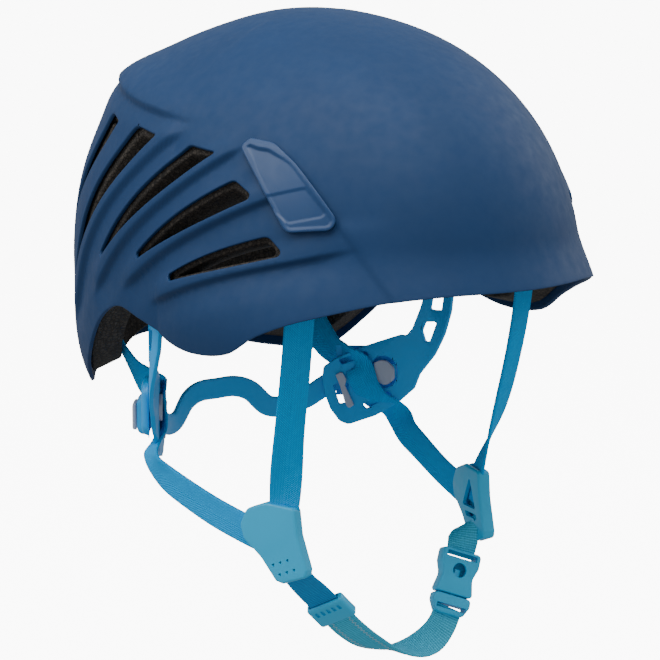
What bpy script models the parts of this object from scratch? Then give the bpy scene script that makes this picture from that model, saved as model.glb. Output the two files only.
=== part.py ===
"""Climbing helmet: ABS shell, foam liner, folding headband, Y straps and chin buckle.

Metres, +Z up, as worn. The wearer faces -Y, so the wearer's right is -X. The origin is the
centre of the head opening, at the height of the brow rim. Azimuth is 0 at the brow and grows
towards +X; elevation is 0 level with the brow rim and 90 degrees at the top.
"""
import math

import bmesh
import bpy
from mathutils import Matrix, Vector

MM = 0.001
GAP = 0.3                      # clearance between touching pieces, in mm
PAD_GAP = 1.0                  # clearance of soft pads to the faceted liner
LINER_GAP = 0.8                # clearance of the faceted liner to the shell

# Shell: half sizes of the superellipsoid that the dome follows, in mm
HALF_WIDTH = 100.6
HALF_LENGTH = 137.3
HALF_HEIGHT = 119.6
PLAN_POWER = 2.17
SIDE_POWER = 2.195
PITCH = math.radians(7.4)      # the dome leans back
EGG = 0.044                    # the rear is a little wider than the brow
BROW_FLARE = 14.5
NAPE_SKIRT = 10.3
CROWN_SWELL = (5.0, 40.5, 7.4)    # size, elevation and spread of the swell over the vents
CROWN_DIP = (-4.1, 65.6, 14.5)
SHELL_WALL = 2.0
SHELL_SEGMENTS = 56
SHELL_RINGS = 14

# Rim of the shell: azimuth and elevation of its turning points, mirrored on both sides
RIM_POINTS = ((0, 0.7), (25, 0.0), (44, -4.5), (55, -9.0), (63, -14.3), (74, -16.4), (84, -15.6),
              (98, -11.2), (107, -8.8), (116, -12.0), (128, -22.0), (139, -28.5), (152, -27.0),
              (180, -21.0))

# Vents on each side: azimuth and elevation of the wide end and of the tip, upward bow and
# half width in mm
VENTS = ((123.6, 35.4, 140.0, 9.0, 1.0, 5.4),
         (103.3, 35.9, 135.2, -4.7, 4.0, 7.2),
         (77.3, 33.9, 115.6, 3.4, 4.0, 6.2),
         (61.0, 24.2, 98.3, 5.2, 3.0, 6.0),
         (51.2, 10.9, 84.1, 1.1, 1.5, 5.0))
VENT_STEPS = 7
LINER_VENT_SCALE = 0.82

# Foam liner
LINER_SIDE = 15.0
LINER_BROW = 11.0
LINER_NAPE = 5.0
LINER_TOP = 7.0
LINER_SPLIT = 0.5              # part of the way from the top to the rim
LINER_RIM = 0.985
LINER_SEGMENTS = 56
LINER_RINGS = 7

# Comfort pads
BROW_PAD = (38.0, 2.0, 17.0, 4.0)     # half azimuth, lowest and highest elevation, thickness
CROWN_PAD = (0.26, 5.0)               # share of the way to the rim, thickness

# Headlamp clips: corner azimuth and elevation of the leaf's two long edges, top to bottom
CLIP_REAR_EDGE = ((63.6, 33.8), (49.2, 14.6))
CLIP_FRONT_EDGE = ((60.5, 35.6), (53.0, 33.6), (47.1, 28.5), (42.0, 22.0), (37.8, 15.6))
CLIP_THICKNESS = 2.6
CLIP_SEAT = (11.0, 18.0, 1.1)         # flat seat: width, length and depth

# Rear lamp elastic
ELASTIC = (16.0, 2.0, 5.5, 2.0)       # half azimuth, lowest and highest elevation, thickness
ELASTIC_HOOK = (3.5, -4.5, 1.5, 3.2)

# Headband: radius of its sheet by azimuth
HEADBAND_RADII = ((90, 92.0), (100, 92.5), (112, 83.5), (125, 80.0), (142, 79.0), (158, 81.0),
                  (180, 81.0))
HEADBAND_SHEET = 2.5
PIVOT = (12.0, -3.0)                  # Y and Z of the headband's pivots
PIVOT_AZIMUTH = 97.5
PIVOT_PIN_RADIUS = 2.6
PIVOT_PIN_LENGTH = 11.0
PIVOT_PIN_OUTSIDE = 2.5               # how far the pin stands past the middle of the arm
ARM_CHANNEL = (13.0, 36.0, 62.0)      # size of the liner's slot for the arm
ARM_OUTLINE = ((93.2, -3.0), (94.6, 2.2), (97.6, 4.2), (100.8, 2.2), (102.0, -3.0), (103.0, -26.0),
               (106.5, -40.0), (113.0, -47.5), (131.0, -48.0), (137.0, -53.0), (139.0, -64.0),
               (138.0, -82.0), (134.0, -89.0), (121.0, -91.0), (108.0, -85.0), (103.5, -74.0),
               (101.5, -62.0), (97.0, -40.0), (94.0, -20.0))
ARM_HOLES = (((96.8, -16.0), (100.2, -16.0), (100.6, -24.0), (97.6, -24.0)),
             ((98.6, -28.0), (101.4, -28.0), (102.0, -40.0)),
             ((107.0, -58.0), (124.0, -58.0), (124.0, -64.0), (107.0, -64.0)))
COVER = (113.0, 135.0, -82.0, -56.0)  # azimuth and Z limits of the ratchet cover
COVER_THICKNESS = 4.4
BUTTON = (120.0, 130.0, -80.0, -68.0)
BUTTON_THICKNESS = 2.4
BUTTON_TRAVEL = 1.5
BAND_ROUTE = ((130, -70.5), (138, -76.0), (146, -83.5), (154, -87.5), (160, -86.5), (166, -78.5),
              (172, -75.2), (180, -75.0))
BAND_WIDTH = 10.8
BAND_SHEET = 1.8

# Straps, in mm: the left side's routes; the right side's are mirrored
WEBBING = (15.0, 1.6)
FRONT_STRAP = ((70.4, -66.6, 6.0), (70.2, -66.3, -12.0), (69.2, -61.8, -40.0), (67.6, -54.5, -72.0),
               (65.4, -46.2, -103.0))
FRONT_STRAP_TURN = (12.0, 22.0)       # azimuth that the strap faces at its top and at its end
REAR_STRAP_UPPER = ((61.5, 82.0, -44.0), (61.0, 75.5, -51.0), (60.5, 69.5, -57.0))
REAR_STRAP_LOWER = ((77.5, 30.0, -97.0), (76.0, 13.0, -104.5), (72.0, -6.0, -112.0),
                    (67.5, -24.0, -117.5))
SLIDER_CENTRE = (62.5, -41.0, -121.0)
SLIDER_FACING = 72.0
SLIDER_OUTLINE = ((-13.0, 15.0), (3.0, 16.0), (15.0, 12.0), (17.5, -1.0), (5.0, -12.0),
                  (-7.0, -17.0), (-14.0, -13.0), (-15.0, 2.0))
SLIDER_THICKNESS = 5.0
CHIN_STRAP = ((-54.0, -44.5, -138.0), (-44.0, -45.5, -148.0), (-34.0, -46.0, -158.0),
              (-24.0, -46.5, -168.0), (-12.0, -47.0, -177.0), (2.0, -47.5, -183.5),
              (15.0, -48.0, -185.5), (26.0, -49.0, -183.0), (32.5, -49.8, -178.5),
              (35.6, -50.1, -173.8))
KEEPER_PLACE = (-34.0, -46.0, -158.0)
KEEPER_SIZE = (18.4, 5.2, 14.0)       # across, thick and along the strap
KEEPER_ROOM = 1.2                     # how much wider and thicker the keeper's slot is than the strap
BUCKLE_CENTRE = (45.5, -46.5, -153.5)
BUCKLE_AXIS = (0.424, 0.156, 0.893)   # from the male half to the left slider
BUCKLE_FACING = (-0.288, -0.913, 0.288)
FEMALE_SIZE = (20.0, 8.0, 22.0)       # across, thick and along
POCKET_SIZE = (15.4, 4.4, 17.0)
MALE_SIZE = (20.0, 7.0, 10.0)
PRONG_SIZE = (2.6, 3.2, 14.0)
PRONG_OFFSET = 5.6

# Colours, linear RGB
NAVY = (0.028, 0.089, 0.205)
FOAM_BLACK = (0.012, 0.011, 0.010)
PAD_BLACK = (0.020, 0.020, 0.022)
BAND_BLUE = (0.004, 0.240, 0.565)
WEB_CYAN = (0.013, 0.340, 0.620)
BUCKLE_CYAN = (0.050, 0.434, 0.624)
BUTTON_WHITE = (0.48, 0.50, 0.60)


def smooth(x):
    x = min(1.0, max(0.0, x))
    return x * x * (3 - 2 * x)


def along(points, x):
    """Smooth value at x through (x, value) points, with level ends."""
    if x <= points[0][0]:
        return points[0][1]
    for i in range(len(points) - 1):
        (x0, y0), (x1, y1) = points[i], points[i + 1]
        if x <= x1:
            before = points[i - 1] if i > 0 else (2 * x0 - x1, y1)
            after = points[i + 2] if i + 2 < len(points) else (2 * x1 - x0, y0)
            slope0 = (y1 - before[1]) / (x1 - before[0])
            slope1 = (after[1] - y0) / (after[0] - x0)
            t = (x - x0) / (x1 - x0)
            h = x1 - x0
            return ((2 * t**3 - 3 * t**2 + 1) * y0 + (t**3 - 2 * t**2 + t) * h * slope0
                    + (-2 * t**3 + 3 * t**2) * y1 + (t**3 - t**2) * h * slope1)
    return points[-1][1]


def direction(azimuth, elevation):
    a, e = math.radians(azimuth), math.radians(elevation)
    return Vector((math.sin(a) * math.cos(e), -math.cos(a) * math.cos(e), math.sin(e)))


def dome_radius(d):
    """Distance from the origin to the shell's outer face along the unit vector d, in mm."""
    y = d.y * math.cos(PITCH) + d.z * math.sin(PITCH)
    z = -d.y * math.sin(PITCH) + d.z * math.cos(PITCH)
    width = HALF_WIDTH * (1 + EGG * y)
    plan = (abs(d.x) / width) ** PLAN_POWER + (abs(y) / HALF_LENGTH) ** PLAN_POWER
    r = (plan ** (SIDE_POWER / PLAN_POWER) + (abs(z) / HALF_HEIGHT) ** SIDE_POWER) ** (-1 / SIDE_POWER)
    height = r * d.z
    front, rear = max(0.0, -d.y), max(0.0, d.y)
    r += BROW_FLARE * smooth((22 - height) / 45) * front ** 0.7
    r += NAPE_SKIRT * smooth((-5 - height) / 60) * rear ** 0.7
    elevation = math.degrees(math.asin(max(-1.0, min(1.0, d.z))))
    for size, centre, spread in (CROWN_SWELL, CROWN_DIP):
        r += rear ** 0.5 * size * math.exp(-((elevation - centre) / spread) ** 2)
    return r


def liner_thickness(d):
    return (LINER_SIDE + LINER_BROW * max(0.0, -d.y) ** 2 + LINER_NAPE * max(0.0, d.y) ** 2
            + LINER_TOP * max(0.0, d.z) ** 2)


def dome_point(azimuth, elevation, outward=0.0):
    d = direction(azimuth, elevation)
    return d * (dome_radius(d) + outward)


def inner_point(azimuth, elevation, inward=0.0):
    """A point on the liner's inner face, or further in."""
    d = direction(azimuth, elevation)
    return d * (dome_radius(d) - SHELL_WALL - LINER_GAP - liner_thickness(d) - inward)


def rim_elevation(azimuth):
    return along(RIM_POINTS, abs((azimuth + 180) % 360 - 180))


def headband_radius(azimuth):
    return along(HEADBAND_RADII, abs((azimuth + 180) % 360 - 180))


def headband_point(azimuth, height, outward=0.0):
    r = headband_radius(azimuth) + outward
    a = math.radians(azimuth)
    return Vector((math.sin(a) * r, -math.cos(a) * r, height))


def material(name, colour, roughness):
    found = bpy.data.materials.get(name)
    if found:
        return found
    made = bpy.data.materials.new(name)
    made.use_nodes = True
    shader = made.node_tree.nodes["Principled BSDF"]
    shader.inputs["Base Color"].default_value = (*colour, 1)
    shader.inputs["Roughness"].default_value = roughness
    return made


def finish(name, bm, look, origin=(0, 0, 0), smooth_angle=40):
    """Write a mesh in mm as a named object in metres, with its origin where asked."""
    bmesh.ops.remove_doubles(bm, verts=bm.verts, dist=1e-4)
    bmesh.ops.recalc_face_normals(bm, faces=bm.faces)
    start = Vector(origin)
    bmesh.ops.transform(bm, matrix=Matrix.Scale(MM, 4) @ Matrix.Translation(-start), verts=bm.verts)
    mesh = bpy.data.meshes.new(name)
    bm.to_mesh(mesh)
    bm.free()
    mesh.shade_smooth()
    mesh.set_sharp_from_angle(angle=math.radians(smooth_angle))
    made = bpy.data.objects.new(name, mesh)
    made.location = start * MM
    bpy.context.scene.collection.objects.link(made)
    if look:
        mesh.materials.append(look)
    return made


def cutter(name, bm, origin=(0, 0, 0)):
    made = finish(name, bm, None, origin)
    made.hide_render = True
    made.display_type = "WIRE"
    return made


def cut(target, tools):
    for tool in tools:
        change = target.modifiers.new(tool.name, "BOOLEAN")
        change.operation = "DIFFERENCE"
        change.object = tool


def spun_dome(start, end, rings, segments, layer_point):
    """A wall between two dome faces, from start to end of the way from the top to the rim.

    A profile of the outer face (radius 2) and inner face (radius 1) is spun about Z, then each
    vertex moves to layer_point(outer, azimuth, elevation).
    """
    bm = bmesh.new()
    steps = [start + (end - start) * i / rings for i in range(rings + 1)]
    profile = [(2, v) for v in steps] + [(1, v) for v in reversed(steps)]
    verts = [bm.verts.new((0, -r * math.sin(v * math.pi / 2), r * math.cos(v * math.pi / 2)))
             for r, v in profile]
    edges = [bm.edges.new(pair) for pair in zip(verts, verts[1:])]
    if start > 0:
        edges.append(bm.edges.new((verts[-1], verts[0])))
    bmesh.ops.spin(bm, geom=verts + edges, axis=(0, 0, 1), cent=(0, 0, 0), angle=2 * math.pi,
                   steps=segments, use_merge=True)
    bmesh.ops.remove_doubles(bm, verts=bm.verts, dist=1e-4)
    for vert in bm.verts:
        p = vert.co
        azimuth = math.degrees(math.atan2(p.x, -p.y))
        share = math.acos(max(-1.0, min(1.0, p.z / p.length))) / (math.pi / 2)
        elevation = 90 - share * (90 - rim_elevation(azimuth))
        vert.co = layer_point(p.length > 1.5, azimuth, elevation)
    # neighbours that share a wall are split the same way, so their facets stay parallel
    bmesh.ops.triangulate(bm, faces=bm.faces, quad_method="SHORT_EDGE")
    return bm


def patch(azimuths, elevations, cells, point, inner, outer):
    """A curved block over a span of azimuth and elevation, between two offsets of point."""
    bm = bmesh.new()
    bmesh.ops.create_grid(bm, x_segments=cells[0], y_segments=cells[1], size=0.5)
    bm.faces.ensure_lookup_table()
    extruded = bmesh.ops.extrude_face_region(bm, geom=bm.faces[:])
    top = {v for v in extruded["geom"] if isinstance(v, bmesh.types.BMVert)}
    for vert in bm.verts:
        azimuth = azimuths[0] + (azimuths[1] - azimuths[0]) * (vert.co.x + 0.5)
        elevation = elevations[0] + (elevations[1] - elevations[0]) * (vert.co.y + 0.5)
        vert.co = point(azimuth, elevation, outer if vert in top else inner)
    return bm


def sheet(loops, depth, point, middle=0.0, slice_width=4.0):
    """A flat outline with holes, given as azimuth and height, bent round the headband."""
    bm = bmesh.new()
    for loop in loops:
        verts = [bm.verts.new((a, z, 0)) for a, z in loop]
        for pair in zip(verts, verts[1:] + verts[:1]):
            bm.edges.new(pair)
    bmesh.ops.triangle_fill(bm, edges=bm.edges[:], use_beauty=True)
    low = min(a for a, z in loops[0])
    high = max(a for a, z in loops[0])
    place = low + slice_width
    while place < high - 0.5:
        bmesh.ops.bisect_plane(bm, geom=bm.verts[:] + bm.edges[:] + bm.faces[:], dist=1e-4,
                               plane_co=(place, 0, 0), plane_no=(1, 0, 0))
        place += slice_width
    extruded = bmesh.ops.extrude_face_region(bm, geom=bm.faces[:])
    top = {v for v in extruded["geom"] if isinstance(v, bmesh.types.BMVert)}
    for vert in bm.verts:
        offset = middle + (depth / 2 if vert in top else -depth / 2)
        vert.co = point(vert.co.x, vert.co.y, offset)
    return bm


def swept_strap(route, facings, width, thickness):
    """A flat strap along a route; facings are the directions that its face looks in."""
    points = [Vector(p) for p in route]
    bm = bmesh.new()
    rows = []
    for i, p in enumerate(points):
        tangent = (points[min(i + 1, len(points) - 1)] - points[max(i - 1, 0)]).normalized()
        side = tangent.cross(Vector(facings[i])).normalized()
        face = side.cross(tangent).normalized()
        rows.append([p + side * width * a / 2 + face * thickness * b / 2
                     for a, b in ((-1, -1), (1, -1), (1, 1), (-1, 1))])
    last = bm.faces.new([bm.verts.new(p) for p in rows[0]])
    for before, row in zip(rows, rows[1:]):
        extruded = bmesh.ops.extrude_face_region(bm, geom=[last])
        if before is not rows[0]:
            bm.faces.remove(last)
        last = next(g for g in extruded["geom"] if isinstance(g, bmesh.types.BMFace))
        for vert in last.verts:
            corner = min(range(4), key=lambda i: (before[i] - vert.co).length)
            vert.co = row[corner]
    # a twisted strap's sides aren't flat, so their triangles are settled here
    bmesh.ops.triangulate(bm, faces=bm.faces)
    return bm


def mirrored(points, side):
    return [(side * x, y, z) for x, y, z in points]


def faced(azimuth, side):
    a = math.radians(azimuth)
    return Vector((side * math.sin(a), -math.cos(a), 0))


def block(size, frame, centre=(0, 0, 0), bevel=0.0):
    """A box of size (across, thick, along) in a frame, optionally with rounded edges."""
    bm = bmesh.new()
    bmesh.ops.create_cube(bm, size=1)
    stretch = Matrix.Translation(centre) @ Matrix.Diagonal((*size, 1))
    bmesh.ops.transform(bm, matrix=stretch, verts=bm.verts)
    if bevel:
        bmesh.ops.bevel(bm, geom=bm.edges[:], offset=bevel, affect="EDGES", segments=1, profile=0.5,
                        material=-1)
    bmesh.ops.transform(bm, matrix=frame, verts=bm.verts)
    return bm


def frame_from(place, along_axis, facing):
    """A frame with Z along a piece, Y through its thickness and X across it."""
    z = Vector(along_axis).normalized()
    x = Vector(facing).cross(z).normalized()
    y = z.cross(x)
    turn = Matrix((x, y, z)).transposed().to_4x4()
    return Matrix.Translation(place) @ turn


def vent_outline(vent, side, scale, outward):
    """The vent's edge on the dome at an offset: wide rounded end first, then to the tip."""
    az0, el0, az1, el1, bow, half = vent
    middle = [dome_point(az0 + (az1 - az0) * u, el0 + (el1 - el0) * u) for u in (0.0, 0.5, 1.0)]
    run = (middle[2] - middle[0]).normalized()
    out = middle[1].normalized()
    up = out.cross(run)
    if up.z < 0:
        up = -up
    edge = []
    for sign in (1, -1):
        rows = range(VENT_STEPS + 1)
        for i in rows if sign > 0 else reversed(rows):
            u = i / VENT_STEPS
            if sign < 0 and i == VENT_STEPS:
                continue
            half_here = max(0.35, half * scale * (1 - u ** 2.2)) * min(1.0, 0.62 + 2.7 * u)
            base = dome_point(az0 + (az1 - az0) * u, el0 + (el1 - el0) * u)
            lift = bow * 4 * u * (1 - u)
            p = base + up * (lift + sign * half_here)
            d = p.normalized()
            q = d * (dome_radius(d) + outward)
            edge.append(Vector((side * q.x, q.y, q.z)))
    return edge


def vent_cutter(name, vent, side, scale):
    bm = bmesh.new()
    outer = vent_outline(vent, side, scale, 5.0)
    inner = vent_outline(vent, side, scale, -45.0)
    face = bm.faces.new([bm.verts.new(p) for p in outer])
    extruded = bmesh.ops.extrude_face_region(bm, geom=[face])
    low = [v for v in extruded["geom"] if isinstance(v, bmesh.types.BMVert)]
    for vert in low:
        nearest = min(range(len(outer)), key=lambda i: (outer[i] - vert.co).length)
        vert.co = inner[nearest]
    return cutter(name, bm)


def make_shell(vents):
    def layer(outer, azimuth, elevation):
        return dome_point(azimuth, elevation, 0.0 if outer else -SHELL_WALL)

    bm = spun_dome(0.0, 1.0, SHELL_RINGS, SHELL_SEGMENTS, layer)
    shell = finish("shell", bm, material("navy_abs", NAVY, 0.5))
    cut(shell, vents)


def make_liner(vents, channels):
    def layer(outer, azimuth, elevation):
        if outer:
            return dome_point(azimuth, elevation, -SHELL_WALL - LINER_GAP)
        return inner_point(azimuth, elevation)

    foam = material("black_foam", FOAM_BLACK, 0.9)
    split_gap = 0.002
    crown = finish("crown_liner", spun_dome(0.0, LINER_SPLIT - split_gap, LINER_RINGS,
                                            LINER_SEGMENTS, layer), foam)
    rim = finish("rim_liner", spun_dome(LINER_SPLIT, LINER_RIM, LINER_RINGS, LINER_SEGMENTS, layer),
                 foam)
    cut(crown, vents)
    cut(rim, vents + channels)


def make_pads():
    look = material("black_pad", PAD_BLACK, 0.95)
    half, low, high, thick = BROW_PAD
    bm = patch((-half, half), (low, high), (14, 3), inner_point, PAD_GAP, PAD_GAP + thick)
    finish("brow_pad", bm, look)
    reach, thick = CROWN_PAD

    def layer(outer, azimuth, elevation):
        return inner_point(azimuth, elevation, PAD_GAP if outer else PAD_GAP + thick)

    finish("crown_pad", spun_dome(0.0, reach, 3, 20, layer), look)


def clip_point(share, across, outward, side):
    """A point on a headlamp clip: share of the way down, and across from rear to front edge."""
    (az0, el0), (az1, el1) = CLIP_REAR_EDGE
    rear = (az0 + (az1 - az0) * share, el0 + (el1 - el0) * share)
    spot = share * (len(CLIP_FRONT_EDGE) - 1)
    i = min(int(spot), len(CLIP_FRONT_EDGE) - 2)
    t = spot - i
    a, b = CLIP_FRONT_EDGE[i], CLIP_FRONT_EDGE[i + 1]
    front = (a[0] + (b[0] - a[0]) * t, a[1] + (b[1] - a[1]) * t)
    azimuth = rear[0] + (front[0] - rear[0]) * across
    elevation = rear[1] + (front[1] - rear[1]) * across
    return dome_point(side * azimuth, elevation, outward)


def make_clip(word, side):
    hinge = (clip_point(0.06, 0.0, GAP + 0.5, side) + clip_point(0.06, 1.0, GAP + 0.5, side)) / 2

    def on_shell(share, across, outward):
        return clip_point(share, across, outward, side)

    bm = patch((0.0, 1.0), (0.0, 1.0), (9, 5), on_shell, GAP, GAP + CLIP_THICKNESS)
    clip = finish("headlamp_clip_" + word, bm, material("clip_blue", NAVY, 0.4), hinge)
    width, length, depth = CLIP_SEAT
    middle = clip_point(0.62, 0.5, GAP + CLIP_THICKNESS, side)
    out = (clip_point(0.62, 0.5, 10, side) - clip_point(0.62, 0.5, 0, side)).normalized()
    down = clip_point(0.72, 0.5, 0, side) - clip_point(0.52, 0.5, 0, side)
    frame = frame_from(middle, down - out * down.dot(out), out)
    seat = block((width, 10.0, length), frame, (0, 5.0 - depth, 0))
    cut(clip, [cutter("clip_seat_cut_" + word, seat)])


def make_rear_elastic():
    half, low, high, thick = ELASTIC
    bm = patch((180 - half, 180 + half), (low, high), (10, 2), dome_point, GAP, GAP + thick)
    finish("rear_lamp_elastic", bm, material("black_elastic", PAD_BLACK, 0.8))
    half, low, high, thick = ELASTIC_HOOK
    bm = patch((180 - half, 180 + half), (low, high), (4, 2), dome_point, GAP, GAP + thick)
    finish("rear_lamp_hook", bm, material("hook_navy", NAVY, 0.5))


def pivot_x():
    """Distance of the arm's pivot from the middle plane, in mm."""
    return headband_radius(PIVOT_AZIMUTH) * math.sin(math.radians(PIVOT_AZIMUTH))


def hole_on_band(azimuth, height, radius, corners=12):
    """A round hole in the headband's sheet, as azimuth and height."""
    wide = math.degrees(radius / headband_radius(azimuth))
    turns = [2 * math.pi * i / corners for i in range(corners)]
    return tuple((azimuth + wide * math.cos(t), height + radius * math.sin(t)) for t in turns)


def make_headband(word, side):
    def bent(azimuth, height, outward):
        return headband_point(side * azimuth, height, outward)

    blue = material("band_blue", BAND_BLUE, 0.42)
    pin_hole = hole_on_band(PIVOT_AZIMUTH, PIVOT[1], PIVOT_PIN_RADIUS + GAP)
    pivot = (side * pivot_x(), *PIVOT)
    arm = sheet((ARM_OUTLINE, *ARM_HOLES, pin_hole), HEADBAND_SHEET, bent)
    finish("headband_arm_" + word, arm, blue, pivot)
    az0, az1, low, high = COVER
    inner = HEADBAND_SHEET / 2 + BAND_SHEET + 2 * GAP
    bm = patch((az0, az1), (low, high), (6, 4), bent, inner, inner + COVER_THICKNESS)
    finish("ratchet_cover_" + word, bm, blue)
    az0, az1, low, high = BUTTON
    inner += COVER_THICKNESS + BUTTON_TRAVEL + GAP
    middle = bent((az0 + az1) / 2, (low + high) / 2, inner)
    bm = patch((az0, az1), (low, high), (3, 2), bent, inner, inner + BUTTON_THICKNESS)
    finish("ratchet_button_" + word, bm, material("button_white", BUTTON_WHITE, 0.35), middle)


def make_pivot_pin(word, side):
    """A stud that stands in the liner; the headband's arm turns on it."""
    bm = bmesh.new()
    start = pivot_x() + PIVOT_PIN_OUTSIDE - PIVOT_PIN_LENGTH / 2
    turn = Matrix.Rotation(math.pi / 2, 4, "Y")
    bmesh.ops.create_cone(bm, cap_ends=True, segments=16, radius1=PIVOT_PIN_RADIUS,
                          radius2=PIVOT_PIN_RADIUS, depth=PIVOT_PIN_LENGTH, matrix=turn)
    place = (side * start, *PIVOT)
    bmesh.ops.translate(bm, verts=bm.verts, vec=place)
    finish("pivot_pin_" + word, bm, material("pin_grey", BUTTON_WHITE, 0.4), place)


def make_rear_band():
    steps = 44
    start = BAND_ROUTE[0][0]
    end = 360 - start
    outward = HEADBAND_SHEET / 2 + GAP + BAND_SHEET / 2
    route, facings = [], []
    for i in range(steps + 1):
        azimuth = start + (end - start) * i / steps
        near = azimuth if azimuth <= 180 else 360 - azimuth
        route.append(headband_point(azimuth, along(BAND_ROUTE, near), outward))
        facings.append(direction(azimuth, 0))
    finish("rear_band", swept_strap(route, facings, BAND_WIDTH, BAND_SHEET),
           material("band_blue", BAND_BLUE, 0.42))


def make_straps(word, side):
    cyan = material("cyan_webbing", WEB_CYAN, 0.75)
    first, last = FRONT_STRAP_TURN
    count = len(FRONT_STRAP)
    facings = [faced(first + (last - first) * i / (count - 1), side) for i in range(count)]
    finish("front_strap_" + word, swept_strap(mirrored(FRONT_STRAP, side), facings, *WEBBING), cyan)
    facings = [Vector((side, 0.75, 0.0))] * len(REAR_STRAP_UPPER)
    upper = swept_strap(mirrored(REAR_STRAP_UPPER, side), facings, *WEBBING)
    finish("rear_strap_upper_" + word, upper, cyan)
    facings = [Vector((side, f, 0.0)) for f in (0.35, 0.1, -0.1, -0.2)]
    lower = swept_strap(mirrored(REAR_STRAP_LOWER, side), facings, *WEBBING)
    finish("rear_strap_lower_" + word, lower, cyan)


def strap_channel(name, top, facing, size):
    return cutter(name, block(size, frame_from(top, (0, 0, 1), facing)))


def rear_anchor_frame(side):
    """The rear anchor lies on from the top of the upper rear strap."""
    start, after = [Vector((side * x, y, z)) for x, y, z in REAR_STRAP_UPPER[:2]]
    run = (after - start).normalized()
    return frame_from(start - run * 5.0, -run, (side, 0.75, 0.0))


def make_anchors(word, side):
    grey = material("anchor_black", PAD_BLACK, 0.5)
    x, y, z = FRONT_STRAP[0]
    frame = frame_from((side * x, y, z + 5.0), (0, 0, 1), faced(FRONT_STRAP_TURN[0], side))
    finish("front_anchor_" + word, block((17.0, 3.0, 9.0), frame, bevel=0.6), grey)
    finish("rear_anchor_" + word, block((17.0, 3.0, 9.0), rear_anchor_frame(side), bevel=0.6), grey)


def make_slider(word, side):
    x, y, z = SLIDER_CENTRE
    frame = frame_from((side * x, y, z), (0, 0, 1), faced(SLIDER_FACING, side))
    bm = bmesh.new()
    # outline runs forward (-) to rearward (+), so it mirrors with the frame's X
    flip = -side
    corners = [bm.verts.new((flip * u, -SLIDER_THICKNESS / 2, v)) for u, v in SLIDER_OUTLINE]
    face = bm.faces.new(corners)
    extruded = bmesh.ops.extrude_face_region(bm, geom=[face])
    top = [v for v in extruded["geom"] if isinstance(v, bmesh.types.BMVert)]
    bmesh.ops.translate(bm, verts=top, vec=(0, SLIDER_THICKNESS, 0))
    bmesh.ops.transform(bm, matrix=frame, verts=bm.verts)
    finish("y_slider_" + word, bm, material("slider_cyan", BUCKLE_CYAN, 0.4), (side * x, y, z))


def make_chin():
    cyan = material("cyan_webbing", WEB_CYAN, 0.75)
    facings = [Vector((-0.6, -0.6, -0.5))] * 4
    facings += [Vector(f) for f in ((-0.4, -0.7, -0.6), (0.0, -0.8, -0.6), (0.1, -0.85, -0.5),
                                    (0.1, -0.9, -0.4), (-0.1, -0.95, -0.1), BUCKLE_FACING)]
    finish("chin_strap", swept_strap(CHIN_STRAP, facings, *WEBBING), cyan)
    run = Vector(CHIN_STRAP[3]) - Vector(CHIN_STRAP[1])
    frame = frame_from(KEEPER_PLACE, run, facings[2])
    look = material("slider_cyan", BUCKLE_CYAN, 0.4)
    keeper = finish("strap_keeper", block(KEEPER_SIZE, frame, bevel=0.8), look)
    hole = block((WEBBING[0] + KEEPER_ROOM, WEBBING[1] + KEEPER_ROOM, KEEPER_SIZE[2] + 4), frame)
    cut(keeper, [cutter("keeper_hole", hole)])


def make_buckle():
    look = material("slider_cyan", BUCKLE_CYAN, 0.4)
    frame = frame_from(BUCKLE_CENTRE, BUCKLE_AXIS, BUCKLE_FACING)
    length = FEMALE_SIZE[2]
    female = finish("buckle_female", block(FEMALE_SIZE, frame, bevel=1.2), look)
    pocket = block(POCKET_SIZE, frame, (0, 0, -length / 2 + POCKET_SIZE[2] / 2 - 1))
    window = bmesh.new()
    bmesh.ops.create_cone(window, cap_ends=True, segments=16, radius1=3.4, radius2=3.4, depth=8,
                          matrix=Matrix.Translation((0, 4.5, 1.0)) @ Matrix.Rotation(math.pi / 2, 4, "X"))
    bmesh.ops.transform(window, matrix=frame, verts=window.verts)
    cut(female, [cutter("buckle_pocket", pocket), cutter("buckle_window", window)])

    base = -length / 2 - GAP
    bm = block(MALE_SIZE, frame, (0, 0, base - MALE_SIZE[2] / 2), bevel=1.2)
    male = finish("buckle_male", bm, look)
    guide = block((3.0, 3.0, 14.0), frame, (0, 0, base + 3.0))
    guide_tool = cutter("buckle_guide", guide)
    join = male.modifiers.new("guide", "BOOLEAN")
    join.operation = "UNION"
    join.object = guide_tool
    for word, sign in (("front", -1), ("back", 1)):
        hinge = frame @ Vector((sign * PRONG_OFFSET, 0, base + GAP))
        bm = block(PRONG_SIZE, frame, (sign * PRONG_OFFSET, 0, base + GAP + PRONG_SIZE[2] / 2), bevel=0.4)
        finish("buckle_prong_" + word, bm, look, hinge)

    axis = Vector(BUCKLE_AXIS).normalized()
    start = Vector(BUCKLE_CENTRE) + axis * (length / 2 + GAP)
    bm = swept_strap([start, start + axis * 3.0, start + axis * 6.0], [BUCKLE_FACING] * 3, *WEBBING)
    finish("buckle_loop", bm, material("cyan_webbing", WEB_CYAN, 0.75))


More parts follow.
